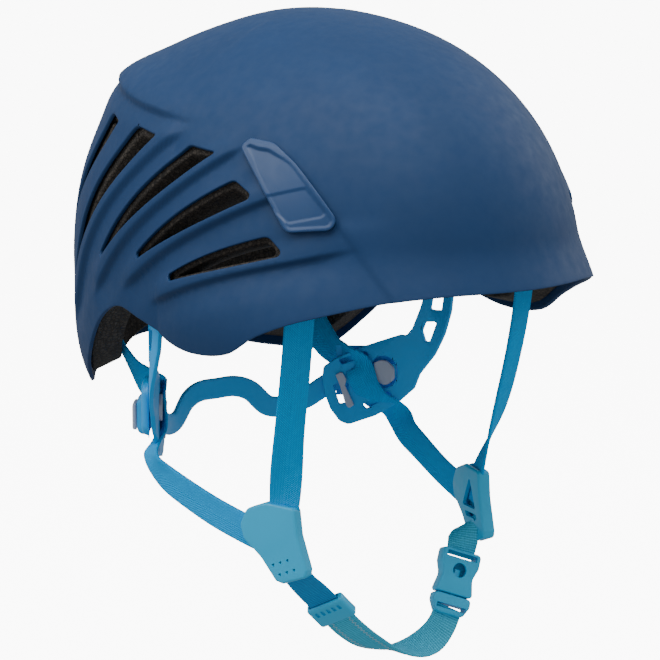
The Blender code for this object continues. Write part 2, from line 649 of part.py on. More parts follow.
def main():
    for old in list(bpy.data.objects):
        bpy.data.objects.remove(old, do_unlink=True)
    sides = (("right", -1), ("left", 1))
    shell_cuts = [vent_cutter("shell_vent_%s_%d" % (w, i + 1), v, s, 1.0)
                  for w, s in sides for i, v in enumerate(VENTS)]
    liner_cuts = [vent_cutter("liner_vent_%s_%d" % (w, i + 1), v, s, LINER_VENT_SCALE)
                  for w, s in sides for i, v in enumerate(VENTS)]
    channels = []
    for word, side in sides:
        x, y, z = FRONT_STRAP[0]
        channels.append(strap_channel("front_channel_" + word, (side * x, y, z - 12), faced(12, side),
                                      (19.0, 4.4, 50.0)))
        frame = rear_anchor_frame(side)
        channels.append(cutter("rear_channel_" + word, block((19.0, 7.0, 34.0), frame, (0, 0, -8.0))))
        # the slot for the arm is open to the shell, and the pin's bore reaches further in
        middle = (side * (pivot_x() - 5.5 + ARM_CHANNEL[0] / 2), PIVOT[0] + 5.0, PIVOT[1] - 20.0)
        channels.append(cutter("arm_channel_" + word, block(ARM_CHANNEL, Matrix.Translation(middle))))
        bore = 2 * PIVOT_PIN_RADIUS + 1.0
        middle = (side * (pivot_x() + PIVOT_PIN_OUTSIDE - PIVOT_PIN_LENGTH / 2), *PIVOT)
        bore_block = block((PIVOT_PIN_LENGTH + 1.0, bore, bore), Matrix.Translation(middle))
        channels.append(cutter("pin_bore_" + word, bore_block))
    make_shell(shell_cuts)
    make_liner(liner_cuts, channels)
    make_pads()
    make_rear_elastic()
    make_rear_band()
    for word, side in sides:
        make_clip(word, side)
        make_headband(word, side)
        make_pivot_pin(word, side)
        make_anchors(word, side)
        make_straps(word, side)
        make_slider(word, side)
    make_chin()
    make_buckle()


main()
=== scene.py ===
"""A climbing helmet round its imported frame: shell, foam, headband, straps, sliders and buckle."""
import math

import bmesh
import bpy
import numpy as np
from bpy.props import FloatProperty, FloatVectorProperty, PointerProperty
from mathutils import Matrix, Vector


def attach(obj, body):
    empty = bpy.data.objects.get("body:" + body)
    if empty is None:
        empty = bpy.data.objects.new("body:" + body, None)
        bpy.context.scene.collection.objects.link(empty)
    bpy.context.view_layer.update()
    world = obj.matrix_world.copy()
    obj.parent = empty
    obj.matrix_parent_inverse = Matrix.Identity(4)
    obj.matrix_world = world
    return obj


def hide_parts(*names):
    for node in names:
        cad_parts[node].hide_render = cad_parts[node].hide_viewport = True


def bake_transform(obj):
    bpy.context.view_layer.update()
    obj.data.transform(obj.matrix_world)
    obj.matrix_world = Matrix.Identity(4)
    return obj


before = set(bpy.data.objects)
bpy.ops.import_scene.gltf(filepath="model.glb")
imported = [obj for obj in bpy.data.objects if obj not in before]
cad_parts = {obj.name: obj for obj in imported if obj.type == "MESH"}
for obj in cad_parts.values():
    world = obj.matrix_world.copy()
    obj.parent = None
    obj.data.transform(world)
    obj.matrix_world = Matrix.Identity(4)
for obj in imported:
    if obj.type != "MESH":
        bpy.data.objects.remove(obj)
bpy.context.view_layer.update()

bl_info = {
    "name": "Climbing Helmet",
    "version": (1, 0, 0),
    "blender": (4, 5, 0),
    "location": "View3D > Sidebar > Helmet",
    "description": "Builds a climbing helmet with a vented shell, headband, straps and buckle",
    "category": "Add Mesh",
}

MM = 0.001
SIDES = (("right", -1), ("left", 1))

# Dome of the shell, in mm and degrees, as the frame has it. Azimuth is 0 at the brow and 90
# at the wearer's left; elevation is 0 level with the brow rim and 90 at the top.
HALF_WIDTH, HALF_LENGTH, HALF_HEIGHT = 100.6, 137.3, 119.6
PLAN_POWER, SIDE_POWER = 2.17, 2.195
PITCH = math.radians(7.4)
EGG = 0.044
BROW_FLARE, NAPE_SKIRT = 14.5, 10.3
CROWN_WAVES = ((5.0, 40.5, 7.4), (-4.1, 65.6, 14.5))      # size, elevation and spread
# The rim: azimuth and elevation
RIM_POINTS = ((0, 0.7), (25, 0.0), (44, -4.5), (55, -9.0), (63, -14.3), (74, -16.4), (84, -15.6),
              (98, -11.2), (107, -8.8), (116, -12.0), (128, -22.0), (139, -28.5), (152, -27.0),
              (180, -21.0))

# Vents: azimuth and elevation of the wide end and of the tip, upward bow, half width, how far
# the wide end slants, radius of its lower corner, and the ridge below: its distance at the wide
# end and at the tip, and how far it runs on past the wide end (None where there is no ridge)
VENTS = ((123.6, 35.4, 140.0, 9.0, 1.0, 5.4, 4.0, 1.0, None),
         (103.3, 35.9, 135.2, -4.7, 4.0, 7.2, 9.0, 1.0, (-12.0, -8.0, 20)),
         (77.3, 33.9, 115.6, 3.4, 4.0, 6.2, 12.0, 0.7, (-9.4, -7.6, 22)),
         (61.0, 24.2, 98.3, 5.2, 3.0, 6.0, 7.5, 2.0, (-8.4, -6.6, 22)),
         (51.2, 10.9, 84.1, 1.1, 1.5, 5.0, 6.5, 2.0, (-7.6, -6.4, 38)))
VENT_CORNER = 4.6                # radius of the wide end's upper corner
VENT_TIP = 1.5
VALLEY = 1.5                     # depth of the hollow below each ridge
RIDGE_FALL = 2.4                 # width of the slope from a ridge into its hollow

# The ledge round the back, and the crease above the brow by the azimuth and elevation of its ends
LEDGE_ELEVATION = 40.6
LEDGE_START, LEDGE_END = 80.0, 141.0
LEDGE_PROUD, LEDGE_UNDER = 1.9, -1.0
CREASE = ((37.2, 15.0), (27.0, -0.7))
CREASE_HEIGHT = 0.9
MM_PER_DEGREE = 2.08            # on the dome

# Foam: thickness at the side and what the brow, nape and top add
FOAM_SIDE, FOAM_BROW, FOAM_NAPE, FOAM_TOP = 15.0, 11.0, 5.0, 7.0
FOAM_DEPTH = 3.2                 # the foam's face lies this far under the shell's
FOAM_BASE = 2.8                  # the thickness counts from here, under the shell's face
FOAM_SPLIT = 0.5                 # share of the way from the top to the rim
FOAM_RIM = 0.985

# Lamp clip: azimuth and elevation of its leaf's corners, then the sunk seat's corners in mm
# forward and down from the leaf's lower rear corner, with their radii
CLIP_REAR_EDGE = ((63.6, 33.8), (48.8, 13.6))
CLIP_FRONT_EDGE = ((60.5, 35.6), (53.0, 33.6), (47.1, 28.5), (41.6, 21.6), (36.6, 14.4))
CLIP_CORNERS = (5.0, 2.5, 2.5, 9.0, 30.0, 40.0, 4.0)     # radius of each corner of the leaf
CLIP_SEAT = ((-4.0, -21.0, 0.5), (16.6, -12.6, 1.2), (19.4, 3.4, 2.0), (3.0, -2.9, 2.0))
CLIP_HEIGHT = 2.9

# Headband: azimuth and distance from the helmet's axis, and the nape band's azimuth and height
BAND_RADII = ((90, 92.0), (100, 92.5), (112, 83.5), (125, 80.0), (142, 79.0), (158, 81.0),
              (180, 81.0))
BAND_SHEET = 2.5
PIVOT = (97.5, -3.0)             # azimuth and height of the arm's pivot
NAPE_ROUTE = ((130, -70.5), (138, -76.0), (146, -83.5), (154, -87.5), (160, -86.5), (166, -78.5),
              (172, -75.2), (180, -75.0))

# Front and rear webbing of the left side, in mm; the right side's is its mirror image
FRONT_ROUTE = ((70.4, -66.6, 6.0), (70.2, -66.3, -12.0), (69.2, -61.8, -40.0), (66.8, -54.3, -72.0),
               (61.9, -45.2, -103.0), (62.2, -43.0, -113.0), (62.6, -41.6, -122.0))
FRONT_FACING = (12.0, 13.0, 15.0, 22.0, 60.0, 70.0, 72.0)   # azimuth that the face looks to
REAR_ROUTE = ((61.5, 82.0, -44.0), (61.0, 75.5, -51.0), (61.2, 66.0, -58.5), (62.0, 55.0, -62.0),
              (62.8, 48.0, -63.6), (62.6, 44.5, -68.0), (64.8, 42.5, -76.0), (69.5, 39.5, -83.0),
              (76.5, 36.0, -87.5), (79.3, 32.0, -93.0), (78.0, 25.0, -99.0), (76.0, 13.0, -104.5),
              (72.0, -6.0, -112.0), (68.0, -24.0, -117.5), (64.8, -34.0, -120.5))
REAR_FACING = ((1, 0.75, 0), (1, 0.75, 0), (1, 0.6, 0.1), (1, 0.5, 0.3), (0.85, 0.5, 0.5),
               (1, 0.75, 0), (0.85, 0.5, 0.2), (0.75, 0.4, 0.5), (0.75, 0.35, 0.55),
               (1, 0.4, 0.1), (1, 0.25, 0), (1, 0.1, 0), (1, -0.1, 0), (1, -0.2, 0), (1, -0.3, 0))
SLIDER_CENTRE = (62.5, -41.0, -121.0)
SLIDER_FACING = 72.0

# Chin webbing, from the right slider under the chin to the buckle's plug
CHIN_ROUTE = ((-60.4, -47.4, -129.0), (-56.6, -48.6, -137.5), (-46.0, -46.6, -147.0),
              (-34.0, -46.0, -158.0), (-24.0, -46.5, -168.0), (-12.0, -47.0, -177.0),
              (2.0, -47.5, -183.5), (15.0, -48.0, -185.5), (26.0, -49.0, -183.0),
              (33.0, -49.6, -177.0), (38.2, -49.2, -168.8))
CHIN_FACING = ((-0.9, -0.3, 0.0), (-0.8, -0.45, -0.3), (-0.6, -0.6, -0.5), (-0.6, -0.6, -0.5),
               (-0.6, -0.6, -0.5), (-0.45, -0.5, -0.75), (-0.1, -0.1, -1.0), (0.1, 0.35, -0.95),
               (0.25, 0.75, -0.6), (0.3, 0.9, -0.3), (0.288, 0.913, -0.288))
KEEPER_PLACE = (-34.0, -46.0, -158.0)
BUCKLE_CENTRE = (45.5, -46.5, -153.5)
BUCKLE_AXIS = (0.424, 0.156, 0.893)
BUCKLE_FACING = (-0.288, -0.913, 0.288)

WARP_PITCH = 1.25                # between the webbing's threads along its length

CAMERA_TARGET = (-1.1, -6.4, -33.4)
CAMERA_AZIMUTH, CAMERA_ELEVATION = -40.5, 9.5
CAMERA_DISTANCE = 1300.0
CAMERA_LENS = 147.5
LAMPS = (("key", -112, 42, 11, 1.2), ("top", -35, 70, 17, 1.2), ("rim", 80, 30, 6, 1.0))
LAMP_DISTANCE = 1.5              # in metres, as the lamps' sizes are

# The floor starts before the helmet, lies flat, turns up in a bend and ends as a backdrop
FLOOR_HEIGHT = -320.0
FLOOR_WIDTH, FLOOR_LENGTH = 12000, 9000
FLOOR_BEFORE, FLOOR_FLAT, FLOOR_BEND = 2600, 5200, 2000
BEND_RADIUS = 1273.0


def colour(code):
    """An sRGB hex colour as linear RGBA."""
    parts = [int(code[i:i + 2], 16) / 255 for i in (1, 3, 5)]
    return (*(c / 12.92 if c <= 0.04045 else ((c + 0.055) / 1.055) ** 2.4 for c in parts), 1.0)


def colour_property(name, code, description):
    return FloatVectorProperty(name=name, description=description, subtype="COLOR", size=4, min=0, max=1,
                               default=colour(code))


def length_property(name, mm, description):
    return FloatProperty(name=name, description=description, default=mm * MM, min=0.0, precision=5,
                         unit="LENGTH", subtype="DISTANCE")


class HelmetSizes(bpy.types.PropertyGroup):
    shell_wall: length_property("Shell wall", 2.0, "Thickness of the moulded shell")
    shell_edge: length_property("Shell edge", 0.55, "Rounding of the vents' and the rim's edges")
    ridge_height: length_property("Ridge height", 1.2, "How far the blades beside the vents stand proud")
    foam_edge: length_property("Foam edge", 1.0, "Rounding of the foam's edges")
    bead: length_property("Foam bead", 1.9, "Width of one moulded foam bead")
    web_width: length_property("Webbing width", 15.0, "Width of every strap")
    web_thickness: length_property("Webbing thickness", 1.6, "Thickness of every strap")
    thread: length_property("Thread pitch", 1.15, "Distance between the webbing's picks")
    plastic_edge: length_property("Plastic edge", 0.45, "Rounding of the moulded plastic pieces")
    shell_colour: colour_property("Shell", "#04335F", "Navy ABS")
    band_colour: colour_property("Headband", "#00A6F0", "Blue polypropylene")
    web_colour: colour_property("Webbing", "#00A0FF", "Cyan polyester")
    web_back_colour: colour_property("Doubled webbing", "#40B8DC", "Paler polyester of the chin strap")
    buckle_colour: colour_property("Buckle", "#06B4E6", "Pale cyan acetal")
    button_colour: colour_property("Button", "#AEB8CC", "Pale grey acetal")


# --- curves and faces ---------------------------------------------------------------------------

def smooth(x):
    x = np.clip(x, 0.0, 1.0)
    return x * x * (3 - 2 * x)


def along(points, x):
    """Smooth value at x through (x, value) points, with level ends."""
    if x <= points[0][0]:
        return points[0][1]
    for i in range(len(points) - 1):
        (x0, y0), (x1, y1) = points[i], points[i + 1]
        if x <= x1:
            before = points[i - 1] if i > 0 else (2 * x0 - x1, y1)
            after = points[i + 2] if i + 2 < len(points) else (2 * x1 - x0, y0)
            span = x1 - x0
            slope0 = (y1 - before[1]) / (x1 - before[0]) * span
            slope1 = (after[1] - y0) / (after[0] - x0) * span
            t = (x - x0) / span
            return ((2 * t**3 - 3 * t**2 + 1) * y0 + (t**3 - 2 * t**2 + t) * slope0
                    + (-2 * t**3 + 3 * t**2) * y1 + (t**3 - t**2) * slope1)
    return points[-1][1]


def table(points, x):
    """The same for an array of x between 0 and 180."""
    grid = np.arange(0.0, 180.5, 0.5)
    return np.interp(x, grid, [along(points, g) for g in grid])


def through(points, step):
    """Points about a step apart on a smooth curve through the given ones, and where those come."""
    p = np.array(points, float)
    p = np.vstack((2 * p[0] - p[1], p, 2 * p[-1] - p[-2]))
    out, marks = [], []
    for a, b, c, d in zip(p, p[1:], p[2:], p[3:]):
        marks.append(len(out))
        count = max(1, int(np.linalg.norm((c - b)[:3]) / step))
        for i in range(count):
            t = i / count
            out.append(0.5 * (2 * b + (c - a) * t + (2 * a - 5 * b + 4 * c - d) * t**2
                              + (3 * b - a - 3 * c + d) * t**3))
    marks.append(len(out))
    out.append(p[-2])
    return np.array(out), marks


def course(route, facings, step, span=None):
    """Places, ways across and facings along a strap; span keeps it between two of its points."""
    both, marks = through(np.hstack((np.array(route, float), unit(facings))), step)
    points, faces = both[:, :3], unit(both[:, 3:])
    tangents = unit(np.gradient(points, axis=0))
    sides = unit(np.cross(tangents, faces))
    faces = np.cross(sides, tangents)
    first, last = span or (0, len(route) - 1)
    kept = slice(marks[first], marks[last] + 1)
    return points[kept], sides[kept], faces[kept]


def rounded(corners, steps=4):
    """A closed outline from (x, y, radius) corners, each radius drawn as an arc."""
    pts = [np.array(c[:2], float) for c in corners]
    out = []
    for i, corner in enumerate(corners):
        radius = corner[2]
        here, before, after = pts[i], pts[i - 1], pts[(i + 1) % len(pts)]
        if radius <= 0:
            out.append(tuple(here))
            continue
        a, b = before - here, after - here
        la, lb = np.linalg.norm(a), np.linalg.norm(b)
        a, b = a / la, b / lb
        half = math.acos(max(-1.0, min(1.0, float(a @ b)))) / 2
        reach = min(radius / math.tan(half), 0.49 * la, 0.49 * lb)
        radius = reach * math.tan(half)
        centre = here + (a + b) / np.linalg.norm(a + b) * radius / math.sin(half)
        start, end = here + a * reach - centre, here + b * reach - centre
        turn = math.atan2(start[0] * end[1] - start[1] * end[0], float(start @ end))
        for k in range(steps + 1):
            t = turn * k / steps
            out.append((centre[0] + start[0] * math.cos(t) - start[1] * math.sin(t),
                        centre[1] + start[0] * math.sin(t) + start[1] * math.cos(t)))
    return out


def circle(x, y, radius, steps=20, squash=1.0):
    turns = [2 * math.pi * i / steps for i in range(steps)]
    return [(x + radius * squash * math.cos(t), y + radius * math.sin(t)) for t in turns]


def unit(v):
    v = np.asarray(v, float)
    return v / np.linalg.norm(v, axis=-1, keepdims=True)


def directions(azimuth, elevation):
    a, e = np.radians(azimuth), np.radians(elevation)
    return np.stack((np.sin(a) * np.cos(e), -np.cos(a) * np.cos(e), np.sin(e) + 0 * a), -1)


# --- the dome -----------------------------------------------------------------------------------

def dome_distance(d):
    """Distance from the origin to the shell's outer face along unit vectors."""
    y = d[:, 1] * math.cos(PITCH) + d[:, 2] * math.sin(PITCH)
    z = -d[:, 1] * math.sin(PITCH) + d[:, 2] * math.cos(PITCH)
    width = HALF_WIDTH * (1 + EGG * y)
    plan = (np.abs(d[:, 0]) / width) ** PLAN_POWER + (np.abs(y) / HALF_LENGTH) ** PLAN_POWER
    r = (plan ** (SIDE_POWER / PLAN_POWER) + (np.abs(z) / HALF_HEIGHT) ** SIDE_POWER) ** (-1 / SIDE_POWER)
    height = r * d[:, 2]
    front, rear = np.maximum(0, -d[:, 1]), np.maximum(0, d[:, 1])
    r = r + BROW_FLARE * smooth((22 - height) / 45) * front ** 0.7
    r = r + NAPE_SKIRT * smooth((-5 - height) / 60) * rear ** 0.7
    elevation = np.degrees(np.arcsin(np.clip(d[:, 2], -1, 1)))
    for size, centre, spread in CROWN_WAVES:
        r = r + rear ** 0.5 * size * np.exp(-((elevation - centre) / spread) ** 2)
    return r


def foam_thickness(d):
    return (FOAM_SIDE + FOAM_BROW * np.maximum(0, -d[:, 1]) ** 2 + FOAM_NAPE * np.maximum(0, d[:, 1]) ** 2
            + FOAM_TOP * np.maximum(0, d[:, 2]) ** 2)


def foam_distance(d):
    """Distance from the origin to the foam's inner face along unit vectors."""
    return dome_distance(d) - FOAM_BASE - foam_thickness(d)


def dome_point(azimuth, elevation, outward=0.0):
    d = directions(np.atleast_1d(azimuth), np.atleast_1d(elevation))
    return Vector((d * (dome_distance(d) + outward)[:, None])[0])


def foam_point(azimuth, elevation, inward=0.0):
    """A point on the foam's inner face, or further in."""
    d = directions(np.atleast_1d(azimuth), np.atleast_1d(elevation))
    return Vector((d * (foam_distance(d) - inward)[:, None])[0])


def way_down(p):
    """Share of the way from the top to the rim, and the length of that way."""
    azimuth = np.abs(np.degrees(np.arctan2(p[:, 0], -p[:, 1])))
    r = np.linalg.norm(p, axis=1)
    elevation = np.degrees(np.arcsin(np.clip(p[:, 2] / r, -1, 1)))
    span = 90 - table(RIM_POINTS, azimuth)
    return (90 - elevation) / span, np.radians(span) * r


def vent_plane(vent):
    """A vent's own plane: origin, direction of its run, way up, and its bowed middle line."""
    az0, el0, az1, el1, bow, half, slant, corner, ridge = vent
    u = np.linspace(0, 1, 25)
    d = directions(az0 + (az1 - az0) * u, el0 + (el1 - el0) * u)
    middle = d * dome_distance(d)[:, None]
    run = unit(middle[-1] - middle[0])
    out = unit(middle[12])
    up = unit(np.cross(out, run))
    up = up if up[2] > 0 else -up
    s = (middle - middle[0]) @ run
    t = (middle - middle[0]) @ up + bow * 4 * u * (1 - u)
    return {"origin": middle[0], "run": run, "up": up, "out": out, "s": s, "t": t, "half": half,
            "slant": slant / 2, "corner": corner, "ridge": ridge, "length": s[-1]}


def vent_outline(plane, upper, lower, ends):
    """The vent's edge in its plane, drawn in from the shell's edge by three insets."""
    length, half, slant = plane["length"], plane["half"], plane["slant"]
    s = np.linspace(0.94, 0.19, 16) * length
    middle = np.interp(s, plane["s"], plane["t"])
    share = s / length
    wide = half * (1 - share**2.2) + VENT_TIP * share**2.2
    top = [(a, b, 0) for a, b in zip(s, middle + wide - upper)]
    bottom = [(a, b, 0) for a, b in zip(s, middle - wide + lower)][::-1]
    slope = plane["t"][1] / plane["s"][1]
    head = [(slant + ends, slope * slant + half - upper, VENT_CORNER),
            (ends - slant, -slope * slant - half + lower, plane["corner"])]
    tip_middle = plane["t"][-1]
    tip = [(length - ends, tip_middle - VENT_TIP + lower, 1.4),
           (length - ends, tip_middle + VENT_TIP - upper, 1.4)]
    return np.array(rounded(top + head + bottom + tip))


def outline_distance(q, outline):
    """Distance of 2-D points to a closed outline, negative inside, and the way that it grows."""
    a, b = outline, np.roll(outline, -1, axis=0)
    ab = b - a
    t = np.clip(((q[:, None] - a) * ab).sum(-1) / (ab * ab).sum(-1), 0, 1)
    away = q[:, None] - (a + t[..., None] * ab)
    squared = (away**2).sum(-1)
    nearest = squared.argmin(1)
    rows = np.arange(len(q))
    distance = np.sqrt(squared[rows, nearest])
    above = (a[:, 1] > q[:, None, 1]) != (b[:, 1] > q[:, None, 1])
    cross = a[:, 0] + (q[:, None, 1] - a[:, 1]) * ab[:, 0] / np.where(ab[:, 1] == 0, 1e-9, ab[:, 1])
    inside = (above & (q[:, None, 0] < cross)).sum(1) % 2 == 1
    signed = np.where(inside, -distance, distance)
    grow = away[rows, nearest] / np.where(np.abs(signed) < 1e-6, 1e-6, signed)[:, None]
    return signed, grow


def left_side(p):
    """Points with the right side's ones mirrored to the left."""
    return np.column_stack((np.abs(p[:, 0]), p[:, 1], p[:, 2]))


def in_plane(p, plane):
    """How far points are along a vent's run and up from it."""
    away = p - plane["origin"]
    return away @ plane["run"], away @ plane["up"]


def vents_distance(p, planes, outlines):
    """Distance of points on the dome to the nearest vent's edge, negative inside, and its growth."""
    folded = left_side(p)
    best = np.full(len(p), 1e3)
    grow = np.zeros_like(p)
    d = unit(folded)
    for plane, outline in zip(planes, outlines):
        q = np.column_stack(in_plane(folded, plane))
        low, high = outline.min(0) - 30, outline.max(0) + 30
        near = np.flatnonzero((q > low).all(1) & (q < high).all(1) & (d @ plane["out"] > 0.55))
        signed, way = outline_distance(q[near], outline)
        closer = signed < best[near]
        chosen = near[closer]
        best[chosen] = signed[closer]
        grow[chosen] = way[closer, :1] * plane["run"] + way[closer, 1:] * plane["up"]
    grow[:, 0] *= np.where(p[:, 0] < 0, -1, 1)
    return best, grow


def moulded_lines(p, planes):
    """Signed distance to each ridge, then the ledge and the crease, and each one's strength there."""
    folded = left_side(p)
    d = unit(folded)
    lines = []
    for plane in planes:
        if plane["ridge"] is None:
            continue
        s, t = in_plane(folded, plane)
        slope_in = plane["t"][1] / plane["s"][1]
        slope_out = (plane["t"][-1] - plane["t"][-2]) / (plane["s"][-1] - plane["s"][-2])
        middle = (np.interp(s, plane["s"], plane["t"]) + np.minimum(s, 0) * slope_in
                  + np.maximum(s - plane["length"], 0) * slope_out)
        head, tip, lead = plane["ridge"]
        crest = middle + head + (tip - head) * np.clip(s / plane["length"], -0.2, 1.2)
        ends = smooth((s + lead) / (0.6 * lead)) * smooth((plane["length"] + 20 - s) / 14)
        lines.append((t - crest, ends * (d @ plane["out"] > 0.55)))
    azimuth = np.degrees(np.arctan2(folded[:, 0], -folded[:, 1]))
    elevation = np.degrees(np.arcsin(np.clip(d[:, 2], -1, 1)))
    ends = smooth((azimuth - LEDGE_START) / 26) * smooth((LEDGE_END + 24 - azimuth) / 24)
    lines.append(((elevation - LEDGE_ELEVATION) * MM_PER_DEGREE, ends))
    (az0, el0), (az1, el1) = CREASE
    share = (elevation - el0) / (el1 - el0)
    ends = smooth((share + 0.1) / 0.2) * smooth((1.25 - share) / 0.2)
    lines.append(((az0 + (az1 - az0) * share - azimuth) * MM_PER_DEGREE, ends))
    return lines


def relief(p, planes, height):
    """How far the moulded ridges, ledge and crease stand off the plain dome."""
    *ridges, (up, ledge_ends), (front, crease_ends) = moulded_lines(p, planes)
    lift = np.zeros(len(p))
    for m, ends in ridges:
        above = height * (1 - smooth((m - 2) / 9))
        fall = height - (height + VALLEY) * smooth(-m / RIDGE_FALL)
        rising = -VALLEY * (1 - smooth((-m - RIDGE_FALL) / 15))
        lift += np.where(m > 0, above, np.where(m > -RIDGE_FALL, fall, rising)) * ends
    step = np.where(up > 0, LEDGE_PROUD * (1 - smooth(up / 30)), LEDGE_UNDER * (1 - smooth(-up / 12)))
    step = np.where(np.abs(up) < 0.9, np.interp(up, (-0.9, 0.9), (LEDGE_UNDER, LEDGE_PROUD)), step)
    lift += step * ledge_ends
    step = np.where(front > 0, 1 - smooth(front / 30), 0)
    step = np.where(np.abs(front) < 1.2, np.interp(front, (-1.2, 1.2), (0, 1)), step)
    return lift + CREASE_HEIGHT * step * crease_ends


def line_distance(p, planes):
    """Distance to the nearest moulded line."""
    lines = moulded_lines(p, planes)
    return np.min([np.where(ends > 0.02, np.abs(m), 99.0) for m, ends in lines], axis=0)


def read(bm):
    return np.array([v.co for v in bm.verts], float).reshape(-1, 3)


def put(verts, places):
    for vert, place in zip(verts, places):
        vert.co = place


def write(bm, co):
    put(bm.verts, co)


def trim(bm, distance, band):
    """Cut a sheet where distance is 0: its edge is a clean band of quads, band wide."""
    co = read(bm)
    cell = np.array([np.mean([e.calc_length() for e in v.link_edges]) for v in bm.verts])
    signed, grow = distance(co)
    close = np.abs(signed - band) < 0.56 * cell
    co[close] += (band - signed[close])[:, None] * grow[close]
    write(bm, co)
    centres = np.array([f.calc_center_median() for f in bm.faces], float)
    inside = distance(centres)[0] < band - 0.02
    gone = [f for f, cut in zip(bm.faces, inside) if cut]
    for vert, value, size in zip(bm.verts, distance(co)[0], cell):
        vert.tag = bool(value < band + 0.9 * size)
    bmesh.ops.delete(bm, geom=gone, context="FACES")
    edges = [e for e in bm.edges if e.is_boundary and e.verts[0].tag and e.verts[1].tag]
    if not edges:
        return
    made = bmesh.ops.extrude_edge_only(bm, edges=edges)["geom"]
    fresh = [g for g in made if isinstance(g, bmesh.types.BMVert)]
    places = np.array([v.co for v in fresh], float)
    signed, grow = distance(places)
    put(fresh, places - signed[:, None] * grow)


def onto_dome(bm, depth=0.0):
    co = read(bm)
    d = unit(co)
    write(bm, d * (dome_distance(d) - depth)[:, None])


def dome_sheet(level, top, bottom, insets, fine, depth, lines=0.0):
    """A layer of the dome between two shares of the way down, with the vents cut out of it.

    Its cells are halved once for each distance in fine from a vent, and that close to a line.
    """
    planes = [vent_plane(v) for v in VENTS]
    outlines = [vent_outline(p, *insets) for p in planes]
    bm = bmesh.new()
    bmesh.ops.create_icosphere(bm, subdivisions=level, radius=1.0)
    low = [v for v in bm.verts if v.co.z < -0.12]
    bmesh.ops.delete(bm, geom=low, context="VERTS")
    d = unit(read(bm))
    azimuth = np.degrees(np.arctan2(d[:, 0], -d[:, 1]))
    share = np.degrees(np.arccos(np.clip(d[:, 2], -1, 1))) / 90
    elevation = 90 - share * (90 - table(RIM_POINTS, np.abs(azimuth)))
    write(bm, directions(azimuth, elevation))
    onto_dome(bm)
    for reach in fine:
        bm.verts.ensure_lookup_table()
        signed = vents_distance(read(bm), planes, outlines)[0]
        by_line = (line_distance(read(bm), planes) < lines) & (signed > 0)
        wanted = ((signed > -3.0) & (signed < reach)) | by_line
        for vert, near in zip(bm.verts, wanted):
            vert.tag = bool(near)
        edges = [e for e in bm.edges if e.verts[0].tag and e.verts[1].tag]
        bmesh.ops.subdivide_edges(bm, edges=edges, cuts=1, use_grid_fill=True)
        bmesh.ops.triangulate(bm, faces=[f for f in bm.faces if len(f.verts) > 3])
        onto_dome(bm)

    def from_bottom(p):
        share, way = way_down(p)
        return (bottom - share) * way, np.tile((0, 0, 1.0), (len(p), 1))

    def from_top(p):
        share, way = way_down(p)
        radial = unit(p * np.array((1, 1, 0)) + 1e-9)
        return (share - top) * way, radial * 0.75 - np.array((0, 0, 0.66))

    trim(bm, from_bottom, 1.6)
    if top > 0:
        trim(bm, from_top, 1.6)
    trim(bm, lambda p: vents_distance(p, planes, outlines), 1.2)
    onto_dome(bm, depth)
    return bm, planes


def close_wall(bm, inner, radius):
    """Give an open sheet its inner face, at inner(outer places), and round the wall's edges."""
    bmesh.ops.remove_doubles(bm, verts=[v for v in bm.verts if v.is_boundary], dist=0.7 * radius)
    bmesh.ops.dissolve_degenerate(bm, edges=bm.edges, dist=0.08)
    bmesh.ops.triangulate(bm, faces=[f for f in bm.faces if len(f.verts) > 4])
    made = bmesh.ops.extrude_face_region(bm, geom=bm.faces[:])["geom"]
    fresh = {g for g in made if isinstance(g, bmesh.types.BMVert)}
    listed = list(fresh)
    put(listed, inner(np.array([v.co for v in listed], float)))
    bmesh.ops.recalc_face_normals(bm, faces=bm.faces)
    walls = {f for f in bm.faces if 0 < sum(v in fresh for v in f.verts) < len(f.verts)}
    edges = {e for f in walls for e in f.edges if any(g not in walls for g in e.link_faces)}
    bmesh.ops.bevel(bm, geom=list(edges), offset=radius, offset_type="OFFSET", segments=3, profile=0.5,
                    affect="EDGES", material=-1, clamp_overlap=False)


def round_edges(bm, radius, angle=50, segments=3):
    """Round every edge sharper than the angle."""
    limit = math.radians(angle)
    sharp = [e for e in bm.edges if e.is_manifold and e.calc_face_angle() > limit]
    bmesh.ops.bevel(bm, geom=sharp, offset=radius, offset_type="OFFSET", segments=segments, profile=0.5,
                    affect="EDGES", material=-1, clamp_overlap=False)


# --- pieces -------------------------------------------------------------------------------------

def mesh_of(bm, name):
    mesh = bpy.data.meshes.new(name)
    bm.to_mesh(mesh)
    bm.free()
    return mesh


def add_object(name, data):
    made = bpy.data.objects.new(name, data)
    bpy.context.scene.collection.objects.link(made)
    return made


def piece(name, bm, finish, body, nodes=(), side=1, sharp=35):
    """Write a mesh in mm as a piece in metres; side -1 mirrors it to the wearer's right."""
    bmesh.ops.scale(bm, verts=bm.verts, vec=(side * MM, MM, MM))
    bmesh.ops.recalc_face_normals(bm, faces=bm.faces)
    mesh = mesh_of(bm, name)
    mesh.shade_smooth()
    if sharp:
        mesh.set_sharp_from_angle(angle=math.radians(sharp))
    mesh.materials.append(finish)
    made = add_object(name, mesh)
    if nodes:
        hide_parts(*nodes)
    if body:
        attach(made, body)
    return made


def combine(bm, tool, operation):
    """Join or cut one mesh with another through a Boolean, and return the result."""
    objects = []
    for source in (bm, tool):
        bmesh.ops.recalc_face_normals(source, faces=source.faces)
        objects.append(add_object("working", mesh_of(source, "working")))
    change = objects[0].modifiers.new("combine", "BOOLEAN")
    change.operation = operation
    change.object = objects[1]
    bpy.context.view_layer.update()
    mesh = objects[0].evaluated_get(bpy.context.evaluated_depsgraph_get()).to_mesh()
    result = bmesh.new()
    result.from_mesh(mesh)
    for made in objects:
        data = made.data
        bpy.data.objects.remove(made)
        bpy.data.meshes.remove(data)
    return result


